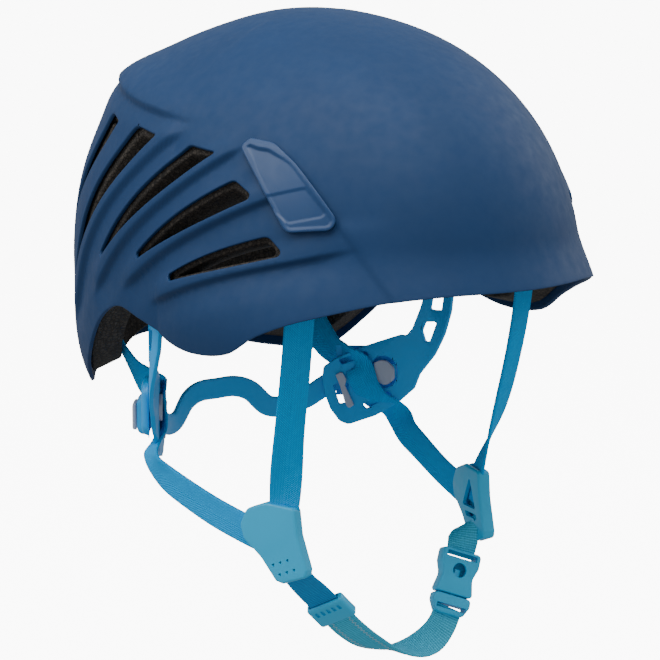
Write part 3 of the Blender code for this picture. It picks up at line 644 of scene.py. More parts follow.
def grid_patch(cells, place, inner, outer):
    """A block over a grid of (0..1, 0..1): place(x, y, outward) puts it, closer cells at its edges."""
    bm = bmesh.new()
    bmesh.ops.create_grid(bm, x_segments=cells[0], y_segments=cells[1], size=0.5)
    made = bmesh.ops.extrude_face_region(bm, geom=bm.faces[:])["geom"]
    top = {g for g in made if isinstance(g, bmesh.types.BMVert)}
    for vert in bm.verts:
        x, y = (0.5 - 0.5 * math.cos(math.pi * (c + 0.5)) for c in vert.co.xy)
        level = outer(x, y) if vert in top else inner(x, y)
        vert.co = place(x, y, level)
    return bm


def edge_inset(x, y, width, height):
    """Distance in from a patch's nearest edge, at shares x and y of its width and height."""
    return min(x * width, (1 - x) * width, y * height, (1 - y) * height)


def edge_round(distance, radius):
    """Drop of a rounded edge at a distance in from it."""
    gone = max(0.0, radius - distance)
    return radius - math.sqrt(max(0.0, radius**2 - gone**2))


def plate(loops, low, high, edge=0.4, slices=(), segments=2):
    """A flat plate with holes in (x, y) from outlines, between two depths, with rounded edges."""
    bm = bmesh.new()
    for loop in loops:
        verts = [bm.verts.new((x, y, low)) for x, y in loop]
        for pair in zip(verts, verts[1:] + verts[:1]):
            bm.edges.new(pair)
    bmesh.ops.triangle_fill(bm, edges=bm.edges[:], use_beauty=True)
    for value in slices:
        bmesh.ops.bisect_plane(bm, geom=bm.verts[:] + bm.edges[:] + bm.faces[:], dist=1e-4,
                               plane_co=(value, 0, 0), plane_no=(1, 0, 0))
    made = bmesh.ops.extrude_face_region(bm, geom=bm.faces[:])["geom"]
    bmesh.ops.translate(bm, verts=[g for g in made if isinstance(g, bmesh.types.BMVert)],
                        vec=(0, 0, high - low))
    bmesh.ops.recalc_face_normals(bm, faces=bm.faces)
    if edge:
        round_edges(bm, edge, angle=60, segments=segments)
    return bm


def shaped(bm, place):
    """Move every vertex by place(x, y, depth)."""
    for vert in bm.verts:
        vert.co = place(*vert.co)
    return bm


def box(size, centre=(0, 0, 0), edge=0.5, segments=2):
    bm = bmesh.new()
    bmesh.ops.create_cube(bm, size=1)
    shape = Matrix.Translation(centre) @ Matrix.Diagonal((*size, 1))
    bmesh.ops.transform(bm, matrix=shape, verts=bm.verts)
    if edge:
        bmesh.ops.bevel(bm, geom=bm.edges[:], offset=edge, segments=segments, profile=0.5, affect="EDGES",
                        material=-1)
    return bm


def frame_from(place, along_axis, facing):
    """A frame with Z along a piece, Y through its thickness and X across it."""
    z = Vector(along_axis).normalized()
    x = Vector(facing).cross(z).normalized()
    turn = Matrix((x, z.cross(x), z)).transposed().to_4x4()
    return Matrix.Translation(place) @ turn


def moved(bm, matrix):
    bmesh.ops.transform(bm, matrix=matrix, verts=bm.verts)
    return bm


def joined(*parts):
    """Meshes that don't touch, as one."""
    first = parts[0]
    for part in parts[1:]:
        mesh = mesh_of(part, "working")
        first.from_mesh(mesh)
        bpy.data.meshes.remove(mesh)
    return first


def ribbon(route, facings, width, thickness, step=2.0, span=None):
    """Flat webbing along a route. Its UV map is in mm: across from the middle, then along."""
    points, sides, faces = course(route, facings, step, span)
    run = np.concatenate(((0,), np.cumsum(np.linalg.norm(np.diff(points, axis=0), axis=1))))
    flat, radius = width / 2 - thickness / 2, thickness / 2
    section = [(a * flat, radius) for a in np.linspace(-1, 1, 9)]
    section += [(flat + radius * math.cos(t), radius * math.sin(t)) for t in np.radians((45, 0, -45))]
    section += [(a * flat, -radius) for a in np.linspace(1, -1, 9)]
    section += [(-flat + radius * math.cos(t), radius * math.sin(t)) for t in np.radians((225, 180, 135))]
    section.append(section[0])
    columns, rows = len(section) - 1, len(points) - 1
    bm = bmesh.new()
    bmesh.ops.create_grid(bm, x_segments=columns, y_segments=rows, size=0.5)
    uv = bm.loops.layers.uv.new("webbing")
    for face in bm.faces:
        for loop in face.loops:
            i = round((loop.vert.co.x + 0.5) * columns)
            j = round((loop.vert.co.y + 0.5) * rows)
            loop[uv].uv = (section[i][0], run[j])
    for vert in bm.verts:
        i, j = round((vert.co.x + 0.5) * columns), round((vert.co.y + 0.5) * rows)
        a, b = section[i]
        vert.co = points[j] + sides[j] * a + faces[j] * b
    bmesh.ops.remove_doubles(bm, verts=bm.verts, dist=1e-4)
    bmesh.ops.holes_fill(bm, edges=bm.edges, sides=columns + 1)
    return bm


def zigzag(route, facings, offset, lift, span, amplitude=1.3, pitch=2.2, size=0.42):
    """A sewn zigzag along a strap: offset across from its middle, lift above it."""
    points, sides, faces = course(route, facings, pitch / 2, span)
    turns = np.where(np.arange(len(points)) % 2 == 0, 1, -1)[:, None]
    path = points + sides * (offset + amplitude * turns / 2) + faces * lift
    bm = bmesh.new()
    for a, b, face in zip(path, path[1:], faces):
        way = Vector(b - a)
        block = bmesh.ops.create_cube(bm, size=1)["verts"]
        stretch = Matrix.Diagonal((size, size, way.length + size, 1))
        bmesh.ops.transform(bm, matrix=frame_from(Vector((a + b) / 2), way, face) @ stretch, verts=block)
    return bm


# --- materials ----------------------------------------------------------------------------------

def add_node(tree, kind, inputs=None, **settings):
    """Add a node: settings are its properties, and inputs a value or a link for each socket."""
    node = tree.nodes.new(kind)
    for name, value in settings.items():
        setattr(node, name, value)
    for socket, value in (inputs or {}).items():
        if isinstance(value, bpy.types.NodeSocket):
            tree.links.new(value, node.inputs[socket])
        else:
            node.inputs[socket].default_value = value
    return node


def new_material(name, roughness, ior=1.5, **sockets):
    """A material with its shader, and the Object coordinates that its patterns read."""
    made = bpy.data.materials.new(name)
    made.use_nodes = True
    tree = made.node_tree
    shader = tree.nodes["Principled BSDF"]
    shader.inputs["Roughness"].default_value = roughness
    shader.inputs["IOR"].default_value = ior
    for socket, value in sockets.items():
        shader.inputs[socket.replace("_", " ").title()].default_value = value
    place = add_node(tree, "ShaderNodeTexCoord").outputs["Object"]
    return made, tree, shader, place


def per(size_mm):
    """Texture scale, in repeats per metre, for a pattern of a size in mm."""
    return 1 / (size_mm * MM)


def tint(base, factor):
    return (*(min(1.0, c * factor) for c in base[:3]), 1.0)


def noise(tree, place, size_mm, detail):
    values = {"Vector": place, "Scale": per(size_mm), "Detail": detail}
    return add_node(tree, "ShaderNodeTexNoise", values).outputs["Fac"]


def remap(tree, value, low, high, to_low=0.0, to_high=1.0):
    values = {"Value": value, "From Min": low, "From Max": high, "To Min": to_low, "To Max": to_high}
    return add_node(tree, "ShaderNodeMapRange", values).outputs["Result"]


def reckon(tree, operation, *values):
    return add_node(tree, "ShaderNodeMath", dict(enumerate(values)), operation=operation).outputs[0]


def blended(tree, factor, low, high):
    """One colour turning into another by a factor."""
    values = {"Factor": factor, "A": low, "B": high}
    return add_node(tree, "ShaderNodeMix", values, data_type="RGBA").outputs["Result"]


def finish_surface(tree, shader, shade, height, depth_mm, strength=1.0):
    """Give the shader its colour, and a relief whose full height is the depth."""
    values = {"Height": height, "Distance": depth_mm * MM, "Strength": strength}
    bump = add_node(tree, "ShaderNodeBump", values)
    tree.links.new(shade, shader.inputs["Base Color"])
    tree.links.new(bump.outputs["Normal"], shader.inputs["Normal"])


def moulded(name, base, roughness, grain_mm, depth_mm, ior=1.5):
    """Injection-moulded plastic: an even colour, a fine spark-eroded grain and faint handling marks."""
    made, tree, shader, place = new_material(name, roughness, ior=ior)
    shade = blended(tree, noise(tree, place, 34, 3.0), tint(base, 0.90), tint(base, 1.10))
    marks = noise(tree, place, 6, 5.0)
    gloss = remap(tree, marks, 0.3, 0.7, roughness - 0.05, roughness + 0.08)
    tree.links.new(gloss, shader.inputs["Roughness"])
    finish_surface(tree, shader, shade, noise(tree, place, grain_mm, 2.0), depth_mm, 0.6)
    return made


def moulded_foam(name, bead_mm):
    """Expanded polystyrene, moulded black: packed round beads with dark joins and a dull skin."""
    made, tree, shader, place = new_material(name, 0.82, ior=1.45)
    beads = {"Vector": place, "Scale": per(bead_mm)}
    edges = add_node(tree, "ShaderNodeTexVoronoi", beads, feature="DISTANCE_TO_EDGE")
    joins = remap(tree, edges.outputs["Distance"], 0.0, 0.16)
    own = add_node(tree, "ShaderNodeTexVoronoi", beads).outputs["Color"]
    pale = blended(tree, own, colour("#282420"), colour("#4A433C"))
    finish_surface(tree, shader, blended(tree, joins, colour("#131110"), pale), joins, 0.25, 0.7)
    return made


def woven(name, dark, light, pitch_mm, slant):
    """Polyester webbing: slanted picks in two columns that meet at the middle, and firm edges.

    slant 1 is a herringbone, and 0 a plain rib straight across. The picks are a little coarser
    than real ones, so that they show.
    """
    made, tree, shader, place = new_material(name, 0.85, ior=1.3, sheen_weight=0.03, sheen_roughness=0.4)
    uv = add_node(tree, "ShaderNodeUVMap", uv_map="webbing")
    parts = add_node(tree, "ShaderNodeSeparateXYZ", {"Vector": uv.outputs["UV"]})
    across = reckon(tree, "ABSOLUTE", parts.outputs["X"])
    lean = reckon(tree, "MULTIPLY_ADD", across, slant, parts.outputs["Y"])
    picks = reckon(tree, "SINE", reckon(tree, "MULTIPLY", lean, 2 * math.pi / pitch_mm))
    warp = reckon(tree, "SINE", reckon(tree, "MULTIPLY", across, 2 * math.pi / WARP_PITCH))
    threads = reckon(tree, "MULTIPLY_ADD", warp, 0.35, picks)
    height = remap(tree, threads, -1.2, 1.2)
    # Painted shade: the grooves between the threads are darker and the thread tops lighter, over a random
    # tone
    tone_and_thread_shade = reckon(tree, "MULTIPLY_ADD", noise(tree, place, 2.4, 4.0), 0.5, height)
    shade = blended(tree, remap(tree, tone_and_thread_shade, 0.1, 1.15), dark, light)
    finish_surface(tree, shader, shade, height, 0.28, 0.9)
    return made


def knitted(name, base, cell_mm):
    """Black polyester spacer knit: an open net of small round cells whose hollows are painted darker, as
    painted shade.
    """
    made, tree, shader, place = new_material(name, 0.9, sheen_weight=0.3, sheen_roughness=0.5)
    net = {"Vector": place, "Scale": per(cell_mm), "Randomness": 0.25}
    cells = add_node(tree, "ShaderNodeTexVoronoi", net).outputs["Distance"]
    ring = remap(tree, cells, 0.15, 0.5)
    # Painted shade: each cell's hollow is darker than the net round it
    finish_surface(tree, shader, blended(tree, ring, tint(base, 0.35), base), ring, 0.4)
    return made


def lit_paper(name):
    """White backdrop paper, lit from behind so that it stays plain and pale."""
    made, _, shader, _ = new_material(name, 0.95)
    shader.inputs["Base Color"].default_value = colour("#F2F2F2")
    shader.inputs["Emission Color"].default_value = (1, 1, 1, 1)
    shader.inputs["Emission Strength"].default_value = 9.0
    return made


def look(name):
    """A finish by name, made once."""
    found = bpy.data.materials.get(name)
    if found:
        return found
    sizes = bpy.context.scene.climbing_helmet
    web, doubled, pick = sizes.web_colour, sizes.web_back_colour, sizes.thread / MM
    makers = {
        "navy_moulded_abs": lambda: moulded(name, sizes.shell_colour, 0.6, 0.55, 0.012, ior=1.4),
        "navy_gloss_abs": lambda: moulded(name, tint(sizes.shell_colour, 1.25), 0.36, 0.6, 0.006),
        "black_moulded_eps": lambda: moulded_foam(name, sizes.bead / MM),
        "blue_moulded_pp": lambda: moulded(name, sizes.band_colour, 0.38, 0.5, 0.010),
        "cyan_moulded_acetal": lambda: moulded(name, sizes.buckle_colour, 0.36, 0.5, 0.010),
        "grey_moulded_acetal": lambda: moulded(name, sizes.button_colour, 0.34, 0.5, 0.008),
        "black_moulded_nylon": lambda: moulded(name, colour("#17181A"), 0.5, 0.6, 0.015),
        "cyan_herringbone_webbing": lambda: woven(name, tint(web, 0.72), tint(web, 1.4), pick, 1.0),
        "teal_ribbed_webbing": lambda: woven(name, tint(doubled, 0.66), tint(doubled, 1.2), pick, 0.0),
        "navy_ribbed_webbing": lambda: woven(name, colour("#0A6FB4"), colour("#22A0E0"), pick, 0.0),
        "black_ribbed_elastic": lambda: moulded(name, colour("#141416"), 0.8, 1.0, 0.1),
        "black_spacer_knit": lambda: knitted(name, colour("#232326"), 2.2),
        "pale_polyester_thread": lambda: moulded(name, colour("#8CC7DC"), 0.6, 0.4, 0.03),
        "white_studio_paper": lambda: lit_paper(name),
    }
    return makers[name]()


# --- shell and foam -----------------------------------------------------------------------------

def build_shell(sizes):
    wall, edge = sizes.shell_wall / MM, sizes.shell_edge / MM
    bm, planes = dome_sheet(7, 0.0, 1.0, (0.0, 0.0, 0.0), (7.0,), 0.0, lines=3.6)
    co = read(bm)
    write(bm, co + unit(co) * relief(co, planes, sizes.ridge_height / MM)[:, None])
    close_wall(bm, lambda p: p - unit(p) * wall, edge)
    piece("helmet_shell", bm, look("navy_moulded_abs"), "helmet", ["shell"], sharp=0)


def strap_channels():
    """Blocks that clear the foam for the front straps, the rear anchors and the headband's arms."""
    blocks = []
    for _, side in SIDES:
        x, y, z = FRONT_ROUTE[0]
        turn = math.radians(FRONT_FACING[0])
        place = frame_from((side * x, y, z - 13), (0, 0, 1), (side * math.sin(turn), -math.cos(turn), 0))
        blocks.append(moved(box((19.0, 4.4, 52.0), edge=0), place))
        top, after = [Vector((side * a, b, c)) for a, b, c in REAR_ROUTE[:2]]
        run = (after - top).normalized()
        blocks.append(moved(box((19.0, 7.0, 34.0), (0, 0, -8.0), 0),
                            frame_from(top - run * 5, -run, (side, 0.75, 0))))
        reach = along(BAND_RADII, PIVOT[0])
        blocks.append(box((14.0, 36.0, 62.0), (side * (reach + 1.5), 17.0, PIVOT[1] - 21.0), 0))
        blocks.append(box((14.0, 7.0, 7.0), (side * (reach - 4), 12.0, PIVOT[1]), 0))
    return joined(*blocks)


def build_foam(sizes):
    edge = sizes.foam_edge / MM

    def inner(p):
        d = unit(p)
        return d * foam_distance(d)[:, None]

    for name, node, top, bottom in (("foam_crown", "crown_liner", 0.0, FOAM_SPLIT - 0.004),
                                    ("foam_rim", "rim_liner", FOAM_SPLIT, FOAM_RIM)):
        bm, _ = dome_sheet(6, top, bottom, (2.2, 1.0, 2.0), (14.0, 5.0), FOAM_DEPTH)
        close_wall(bm, inner, edge)
        if top > 0:
            bm = combine(bm, strap_channels(), "DIFFERENCE")
        piece(name, bm, look("black_moulded_eps"), "helmet", [node])


def build_pads():
    def brow_place(x, y, inward):
        return foam_point(-38 + 76 * x, 2 + 15 * y, inward)

    def brow_top(x, y):
        edge = edge_inset(x, y, 100, 30)
        quilt = 0.5 * math.exp(-(((x * 6) % 1 - 0.5) / 0.05) ** 2)
        return 5.2 - edge_round(edge, 3.6) - quilt * (edge > 3)

    bm = grid_patch((80, 26), brow_place, lambda x, y: 0.9, brow_top)
    pad = piece("brow_cushion", bm, look("black_spacer_knit"), "helmet", ["brow_pad"],
                sharp=0)

    bm = bmesh.new()
    bmesh.ops.create_icosphere(bm, subdivisions=5, radius=1.0)
    for vert in bm.verts:
        flat = math.hypot(vert.co.x, vert.co.y)
        azimuth = math.degrees(math.atan2(vert.co.x, -vert.co.y))
        petals = 1 - 0.16 * (0.5 + 0.5 * math.cos(math.radians(azimuth * 4))) ** 6
        elevation = 90 - 0.26 * petals * flat * (90 - along(RIM_POINTS, abs(azimuth)))
        vert.co = foam_point(azimuth, elevation, 3.4 + 2.6 * vert.co.z)
    pad = piece("crown_cushion", bm, look("black_spacer_knit"), "helmet", ["crown_pad"],
                sharp=0)


# --- lamp clips ---------------------------------------------------------------------------------

def clip_plane():
    """The leaf's own plane, from its lower rear corner: origin, way forward, way down, and corners."""
    corners = np.array((*CLIP_REAR_EDGE[::-1], *CLIP_FRONT_EDGE), float)
    d = directions(corners[:, 0], corners[:, 1])
    places = d * dome_distance(d)[:, None]
    out = unit(places.mean(0))
    down = places[0] - places[1]
    down = unit(down - out * (down @ out))
    across = np.cross(down, out)
    flat = np.column_stack(((places - places[0]) @ across, (places - places[0]) @ down))
    return places[0], across, down, flat


def clip_relief(q, leaf, seat):
    """Height of the leaf: a broad sloping rail round its top, a narrow rim below, and a sunk seat."""
    edge = -outline_distance(q, leaf)[0]
    upper = (1 - smooth((q[:, 1] + 40) / 16)) * smooth((q[:, 0] + 1) / 8)
    rim = 1.3 + 2.4 * upper
    height = CLIP_HEIGHT - 0.55 * smooth((edge - rim) / 0.8)
    height += 0.6 * upper * (1 - smooth((edge - rim) / 1.0)) * smooth(edge / 3.0)
    return height - 0.5 * smooth(-outline_distance(q, seat)[0] / 0.5)


def build_clips():
    origin, across, down, flat = clip_plane()
    leaf = np.array(rounded([(x, y, r) for (x, y), r in zip(flat, CLIP_CORNERS)], 6))
    seat = np.array(rounded(CLIP_SEAT, 4))
    low, high = leaf.min(0), leaf.max(0)

    def inward(p):
        signed, grow = outline_distance(p[:, :2], leaf)
        return -signed, -np.column_stack((grow, 0 * signed))

    for word, side in SIDES:
        bm = bmesh.new()
        cells = np.ceil((high - low + 4) / 0.6).astype(int)
        bmesh.ops.create_grid(bm, x_segments=int(cells[0]), y_segments=int(cells[1]), size=0.5)
        co = read(bm)
        co[:, :2] = (low + high) / 2 + co[:, :2] * (high - low + 4)
        write(bm, co)
        trim(bm, inward, 0.9)
        co = read(bm)
        co[:, 2] = clip_relief(co[:, :2], leaf, seat)
        write(bm, co)
        close_wall(bm, lambda p: p * (1, 1, 0) + (0, 0, 0.25), 0.5)
        co = read(bm)
        d = unit(origin + co[:, :1] * across + co[:, 1:2] * down)
        write(bm, d * (dome_distance(d) + co[:, 2])[:, None])
        piece("lamp_clip_" + word, bm, look("navy_gloss_abs"), "clip_" + word,
              ["headlamp_clip_" + word], side, sharp=0)


def build_rear_lamp_loop():
    def elastic_place(x, y, outward):
        return dome_point(164 + 32 * x, 2 + 3.5 * y, outward)

    def elastic_top(x, y):
        edge = edge_inset(x, y, 60, 8)
        return 2.2 - edge_round(edge, 0.8) + 0.18 * math.sin(x * 150)

    bm = grid_patch((120, 12), elastic_place, lambda x, y: 0.3, elastic_top)
    piece("rear_elastic", bm, look("black_ribbed_elastic"), "helmet",
          ["rear_lamp_elastic"], sharp=0)

    def hook_place(x, y, outward):
        return dome_point(176.5 + 7 * x, -4.5 + 6 * y, outward)

    def hook_top(x, y):
        edge = edge_inset(x, y, 15, 14)
        return 3.4 - edge_round(edge, 1.4) - 0.8 * math.exp(-((y - 0.55) / 0.12) ** 2)

    bm = grid_patch((24, 24), hook_place, lambda x, y: 0.3, hook_top)
    piece("rear_hook", bm, look("navy_moulded_abs"), "helmet", ["rear_lamp_hook"], sharp=0)


# --- headband -----------------------------------------------------------------------------------

def band_place(azimuth, height, outward):
    r = along(BAND_RADII, abs((azimuth + 180) % 360 - 180)) + outward
    a = math.radians(azimuth)
    return Vector((math.sin(a) * r, -math.cos(a) * r, height))


# Outline of an arm and its adjuster plate: azimuth, height and corner radius
ARM_OUTLINE = ((93.2, -3.0, 2), (94.6, 2.2, 1), (97.6, 4.2, 1.5), (100.8, 2.2, 1), (102.0, -3.0, 2),
               (103.4, -22.0, 8), (105.4, -35.0, 6), (107.7, -45.6, 2), (109.5, -49.4, 1.5),
               (111.6, -49.0, 1.5), (126.0, -56.4, 12), (135.0, -62.2, 5), (139.6, -66.6, 3),
               (140.0, -73.0, 8), (139.0, -81.0, 8), (137.0, -88.5, 8), (133.6, -94.8, 3.5),
               (130.2, -96.8, 3), (120.0, -91.6, 10), (112.3, -84.8, 7), (107.2, -77.0, 4),
               (105.6, -69.5, 6), (101.2, -59.2, 10), (97.8, -48.0, 10), (95.2, -36.0, 10),
               (93.8, -20.0, 10))
ARM_HOLES = (((96.8, -13.0, 1), (100.4, -13.0, 1), (101.0, -22.0, 1), (97.4, -22.0, 1)),
             ((97.8, -26.0, 1), (101.6, -26.0, 1), (102.6, -36.0, 1), (98.8, -36.0, 1)),
             ((100.4, -42.0, 0.8), (104.0, -42.4, 0.8), (104.9, -47.0, 0.8), (103.4, -56.0, 0.8)),
             ((122.4, -60.2, 0.6), (124.0, -58.2, 0.6), (133.8, -62.6, 0.6), (132.8, -65.2, 0.6)),
             ((114.4, -80.6, 0.6), (115.4, -78.4, 0.6), (125.0, -86.0, 0.6), (123.6, -88.2, 0.6)),
             ((130.0, -75.0, 0.7), (133.4, -74.2, 0.7), (135.8, -76.0, 0.7), (133.6, -86.0, 0.7),
              (130.8, -85.0, 0.7)))


def arm_window():
    return circle(117.2, -68.6, 8.4, 28, squash=0.6)


def build_headband(sizes):
    edge = sizes.plastic_edge / MM
    pin = circle(*PIVOT, 2.9, 20, squash=0.62)
    for word, side in SIDES:
        loops = [rounded(ARM_OUTLINE, 5), *(rounded(h, 3) for h in ARM_HOLES), arm_window(), pin]
        bm = plate(loops, -BAND_SHEET / 2, BAND_SHEET / 2, edge=edge, slices=np.arange(94.5, 140, 1.5))
        shaped(bm, band_place)
        piece("adjuster_arm_" + word, bm, look("blue_moulded_pp"), "headband",
              ["headband_arm_" + word], side)
        for name, outline, low, high, finish in adjuster_details():
            bm = plate([outline], low, high, edge=0.3, slices=np.arange(109.5, 140, 1.5))
            shaped(bm, band_place)
            piece("%s_%s" % (name, word), bm, look(finish), "headband", side=side)
        build_ratchet(word, side)


def adjuster_details():
    """Small pieces on the adjuster plate: name, outline, inner and outer depth, and finish."""
    cursor = rounded(((134.9, -70.4, 0.5), (132.4, -68.6, 0.8), (130.7, -72.6, 0.8),
                      (131.2, -76.0, 0.5), (127.8, -86.0, 0.8), (129.9, -88.0, 0.8),
                      (131.4, -84.4, 0.5), (133.1, -76.4, 0.5)), 3)
    leaf = rounded(((120.4, -63.6, 1.5), (116.4, -61.4, 3), (113.2, -66.0, 5), (113.0, -72.2, 4),
                    (116.2, -76.0, 2), (119.6, -72.6, 1.5)), 4)
    rack = rounded(((113.0, -64.0, 1), (122.4, -66.0, 1), (121.6, -72.0, 1), (112.6, -71.6, 1)), 3)
    return (("adjuster_cursor", cursor, -3.0, -1.55, "grey_moulded_acetal"),
            ("adjuster_leaf", leaf, -2.6, -0.7, "grey_moulded_acetal"),
            ("adjuster_rack", rack, -0.6, 0.9, "blue_moulded_pp"))


def build_ratchet(word, side):
    """The ratchet's housing on the plate's outer face, and its button."""
    def cover_place(x, y, outward):
        return band_place(113 + 22 * x, -82 + 26 * y, outward)

    def cover_top(x, y):
        corner = math.hypot(max(0, abs(x - 0.5) * 31 - 9.5), max(0, abs(y - 0.5) * 26 - 7))
        drop = edge_round(max(0.0, 6.0 - corner), 3.4)
        ribs = 0.35 * (0.5 + 0.5 * math.sin(y * 26 * 2 * math.pi / 3.2)) * (0.66 < x < 0.9)
        # How far a place is outside the button, whose middle is at these shares of the housing
        past_button = max(abs(x - 0.545) * 31.9 - 7.25, abs(y - 0.308) * 26 - 6.0)
        collar = 2.2 * float(smooth((past_button - 0.3) / 0.6) - smooth((past_button - 1.9) / 0.7))
        return 7.6 - drop - ribs + collar

    bm = grid_patch((44, 40), cover_place, lambda x, y: 3.8, cover_top)
    piece("adjuster_housing_" + word, bm, look("blue_moulded_pp"), "headband",
          ["ratchet_cover_" + word], side, sharp=0)

    def button_place(x, y, outward):
        return band_place(120 + 10 * x, -80 + 12 * y, outward)

    def button_top(x, y):
        edge = edge_inset(x, y, 15, 12)
        ribs = 0.3 * (0.5 + 0.5 * math.cos(y * 12 * 2 * math.pi / 2)) * (edge > 2)
        return 12.2 - edge_round(edge, 1.1) - ribs

    bm = grid_patch((30, 30), button_place, lambda x, y: 10.0, button_top)
    piece("adjuster_button_" + word, bm, look("grey_moulded_acetal"), "button_" + word,
          ["ratchet_button_" + word], side, sharp=0)


def build_nape_band():
    """The band across the nape, with raised edges."""
    full = [(a, z) for a, z in NAPE_ROUTE[:-1]] + [(360 - a, z) for a, z in reversed(NAPE_ROUTE)]
    azimuths = np.linspace(full[0][0], full[-1][0], 150)
    near = np.where(azimuths <= 180, azimuths, 360 - azimuths)
    route = [band_place(a, along(NAPE_ROUTE, n), 2.45) for a, n in zip(azimuths, near)]
    facing = directions(azimuths, 0 * azimuths)
    bm = ribbon(route, facing, 10.8, 1.8, step=3.0)
    rails = []
    for offset in (-4.5, 4.5):
        points = np.array(route)
        tangents = unit(np.gradient(points, axis=0))
        sides = unit(np.cross(tangents, facing))
        rails.append(ribbon(points + sides * offset + facing * 0.9, facing, 1.6, 1.5, step=3.0))
    for rail in rails:
        bm = combine(bm, rail, "UNION")
    piece("nape_band", bm, look("blue_moulded_pp"), "nape", ["rear_band"])


# --- webbing, sliders and buckle ----------------------------------------------------------------

def facing_azimuth(degrees):
    a = np.radians(degrees)
    return np.stack((np.sin(a), -np.cos(a), 0 * a), -1)


def build_straps(sizes):
    width, thick = sizes.web_width / MM, sizes.web_thickness / MM
    cyan = look("cyan_herringbone_webbing")
    for word, side in SIDES:
        bm = ribbon(FRONT_ROUTE, facing_azimuth(np.array(FRONT_FACING)), width, thick)
        strap = piece("front_webbing_" + word, bm, cyan, None, ["front_strap_" + word], side)
        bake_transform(strap)

        def rear(span, step=2.0):
            return ribbon(REAR_ROUTE, REAR_FACING, width, thick, step, span)

        strap = piece("rear_webbing_upper_" + word, rear((0, 4), 1.5), cyan, None,
                      ["rear_strap_upper_" + word], side)
        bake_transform(strap)
        piece("rear_webbing_plate_" + word, rear((4, 10), 1.5), cyan, "headband", side=side)
        strap = piece("rear_webbing_lower_" + word, rear((10, 12)), cyan, None,
                      ["rear_strap_lower_" + word], side)
        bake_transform(strap)
        strap = piece("rear_webbing_end_" + word, rear((12, 14)), cyan, None, side=side)
        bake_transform(strap)


# A slider's outlines: forward is -x, up is y, with corner radii. The cavity runs out of the body
# where the straps enter and leave.
SLIDER_OUTLINE = ((-11.0, 17.0, 2.5), (5.0, 18.0, 5), (15.5, 14.0, 5), (19.0, 6.0, 4), (17.0, -0.5, 5),
                  (7.5, -8.5, 12), (-0.5, -18.5, 1.5), (-4.5, -19.5, 2), (-17.0, -15.0, 2.5),
                  (-17.6, -11.5, 3), (-12.5, 4.0, 10))
SLIDER_CAVITY = ((-9.5, 30, 0), (7.5, 30, 0), (8.5, 14, 0), (30, 14, 0), (30, -2, 0), (13, -2, 0),
                 (-2.5, -15.5, 0), (-4.5, -30, 0), (-19.0, -30, 0), (-15.6, -12, 0), (-9.5, 4, 0))
SLIDER_WINDOW = ((-1.0, 12.5, 0.8), (6.5, -2.5, 0.8), (-8.0, -2.5, 0.8))
SLIDER_BAR = ((-9.0, -5.0, 0.5), (3.6, -5.0, 0.5), (2.0, -7.4, 0.5), (-9.6, -7.4, 0.5))
SLIDER_DEPTH = 3.3               # half of its thickness


def slider_place(u, v, w):
    """A point in a left slider's frame: u to the rear, v up and w outwards."""
    out = Vector(facing_azimuth(SLIDER_FACING))
    forward = out.cross(Vector((0, 0, 1)))
    return Vector(SLIDER_CENTRE) - forward * u + Vector((0, 0, v)) + out * w


def build_sliders():
    """A flat box with a solid outer face, a window in its inner one, and six peepholes through both."""
    for word, side in SIDES:
        bm = plate([rounded(SLIDER_OUTLINE, 6)], -SLIDER_DEPTH, SLIDER_DEPTH, edge=1.3, segments=4)
        holes = [circle(x - 3.9 * i, y + 1.6 * i, 1.0, 3)
                 for x, y in ((0.4, -10.9), (-3.2, -15.0)) for i in range(3)]
        cuts = [plate([rounded(SLIDER_CAVITY)], -1.3, 1.3, edge=0),
                joined(*(plate([hole], -9, 9, edge=0) for hole in holes)),
                joined(*(plate([rounded(hole, 3)], -9, 0, edge=0) for hole in (SLIDER_WINDOW, SLIDER_BAR)))]
        for cut in cuts:
            bm = combine(bm, cut, "DIFFERENCE")
        shaped(bm, slider_place)
        piece("strap_slider_" + word, bm, look("cyan_moulded_acetal"), "slider_" + word,
              ["y_slider_" + word], side)


def build_chin(sizes):
    width, thick = sizes.web_width / MM, sizes.web_thickness / MM
    bm = ribbon(CHIN_ROUTE, CHIN_FACING, width, thick, span=(0, 3))
    piece("chin_webbing_upper", bm, look("navy_ribbed_webbing"), "slider_right")
    bm = ribbon(CHIN_ROUTE, CHIN_FACING, width, thick, span=(3, len(CHIN_ROUTE) - 1))
    strap = piece("chin_webbing", bm, look("teal_ribbed_webbing"), None, ["chin_strap"])
    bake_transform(strap)
    for name, offset in (("chin_stitching_a", 4.6), ("chin_stitching_b", -4.6)):
        bm = zigzag(CHIN_ROUTE, CHIN_FACING, offset, thick / 2, (3, len(CHIN_ROUTE) - 1))
        sewn = piece(name, bm, look("pale_polyester_thread"), None, sharp=0)
        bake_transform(sewn)

    run = Vector(CHIN_ROUTE[4]) - Vector(CHIN_ROUTE[2])
    place = frame_from(KEEPER_PLACE, run, CHIN_FACING[3])
    body = box((19.6, 5.6, 14.0), edge=1.6, segments=4)
    bore = box((16.2, 2.8, 20.0), edge=0.4)
    bm = combine(body, bore, "DIFFERENCE")
    slots = [box((1.5, 2.0, 3.2), (-6 + 3 * i, 2.9, -2.6), 0.3) for i in range(5)]
    bm = combine(bm, joined(*slots), "DIFFERENCE")
    piece("chin_keeper", moved(bm, place), look("cyan_moulded_acetal"), "keeper",
          ["strap_keeper"])


# Outline of one of the plug's springy arms, in mm across and along the buckle
BUCKLE_ARM = ((4.4, -11.0, 0.4), (4.4, 0.0, 0.8), (5.4, 2.8, 0.8), (7.0, 1.0, 0.8), (7.2, -2.0, 0.5),
              (6.4, -3.5, 0.5), (6.6, -11.0, 0.4))


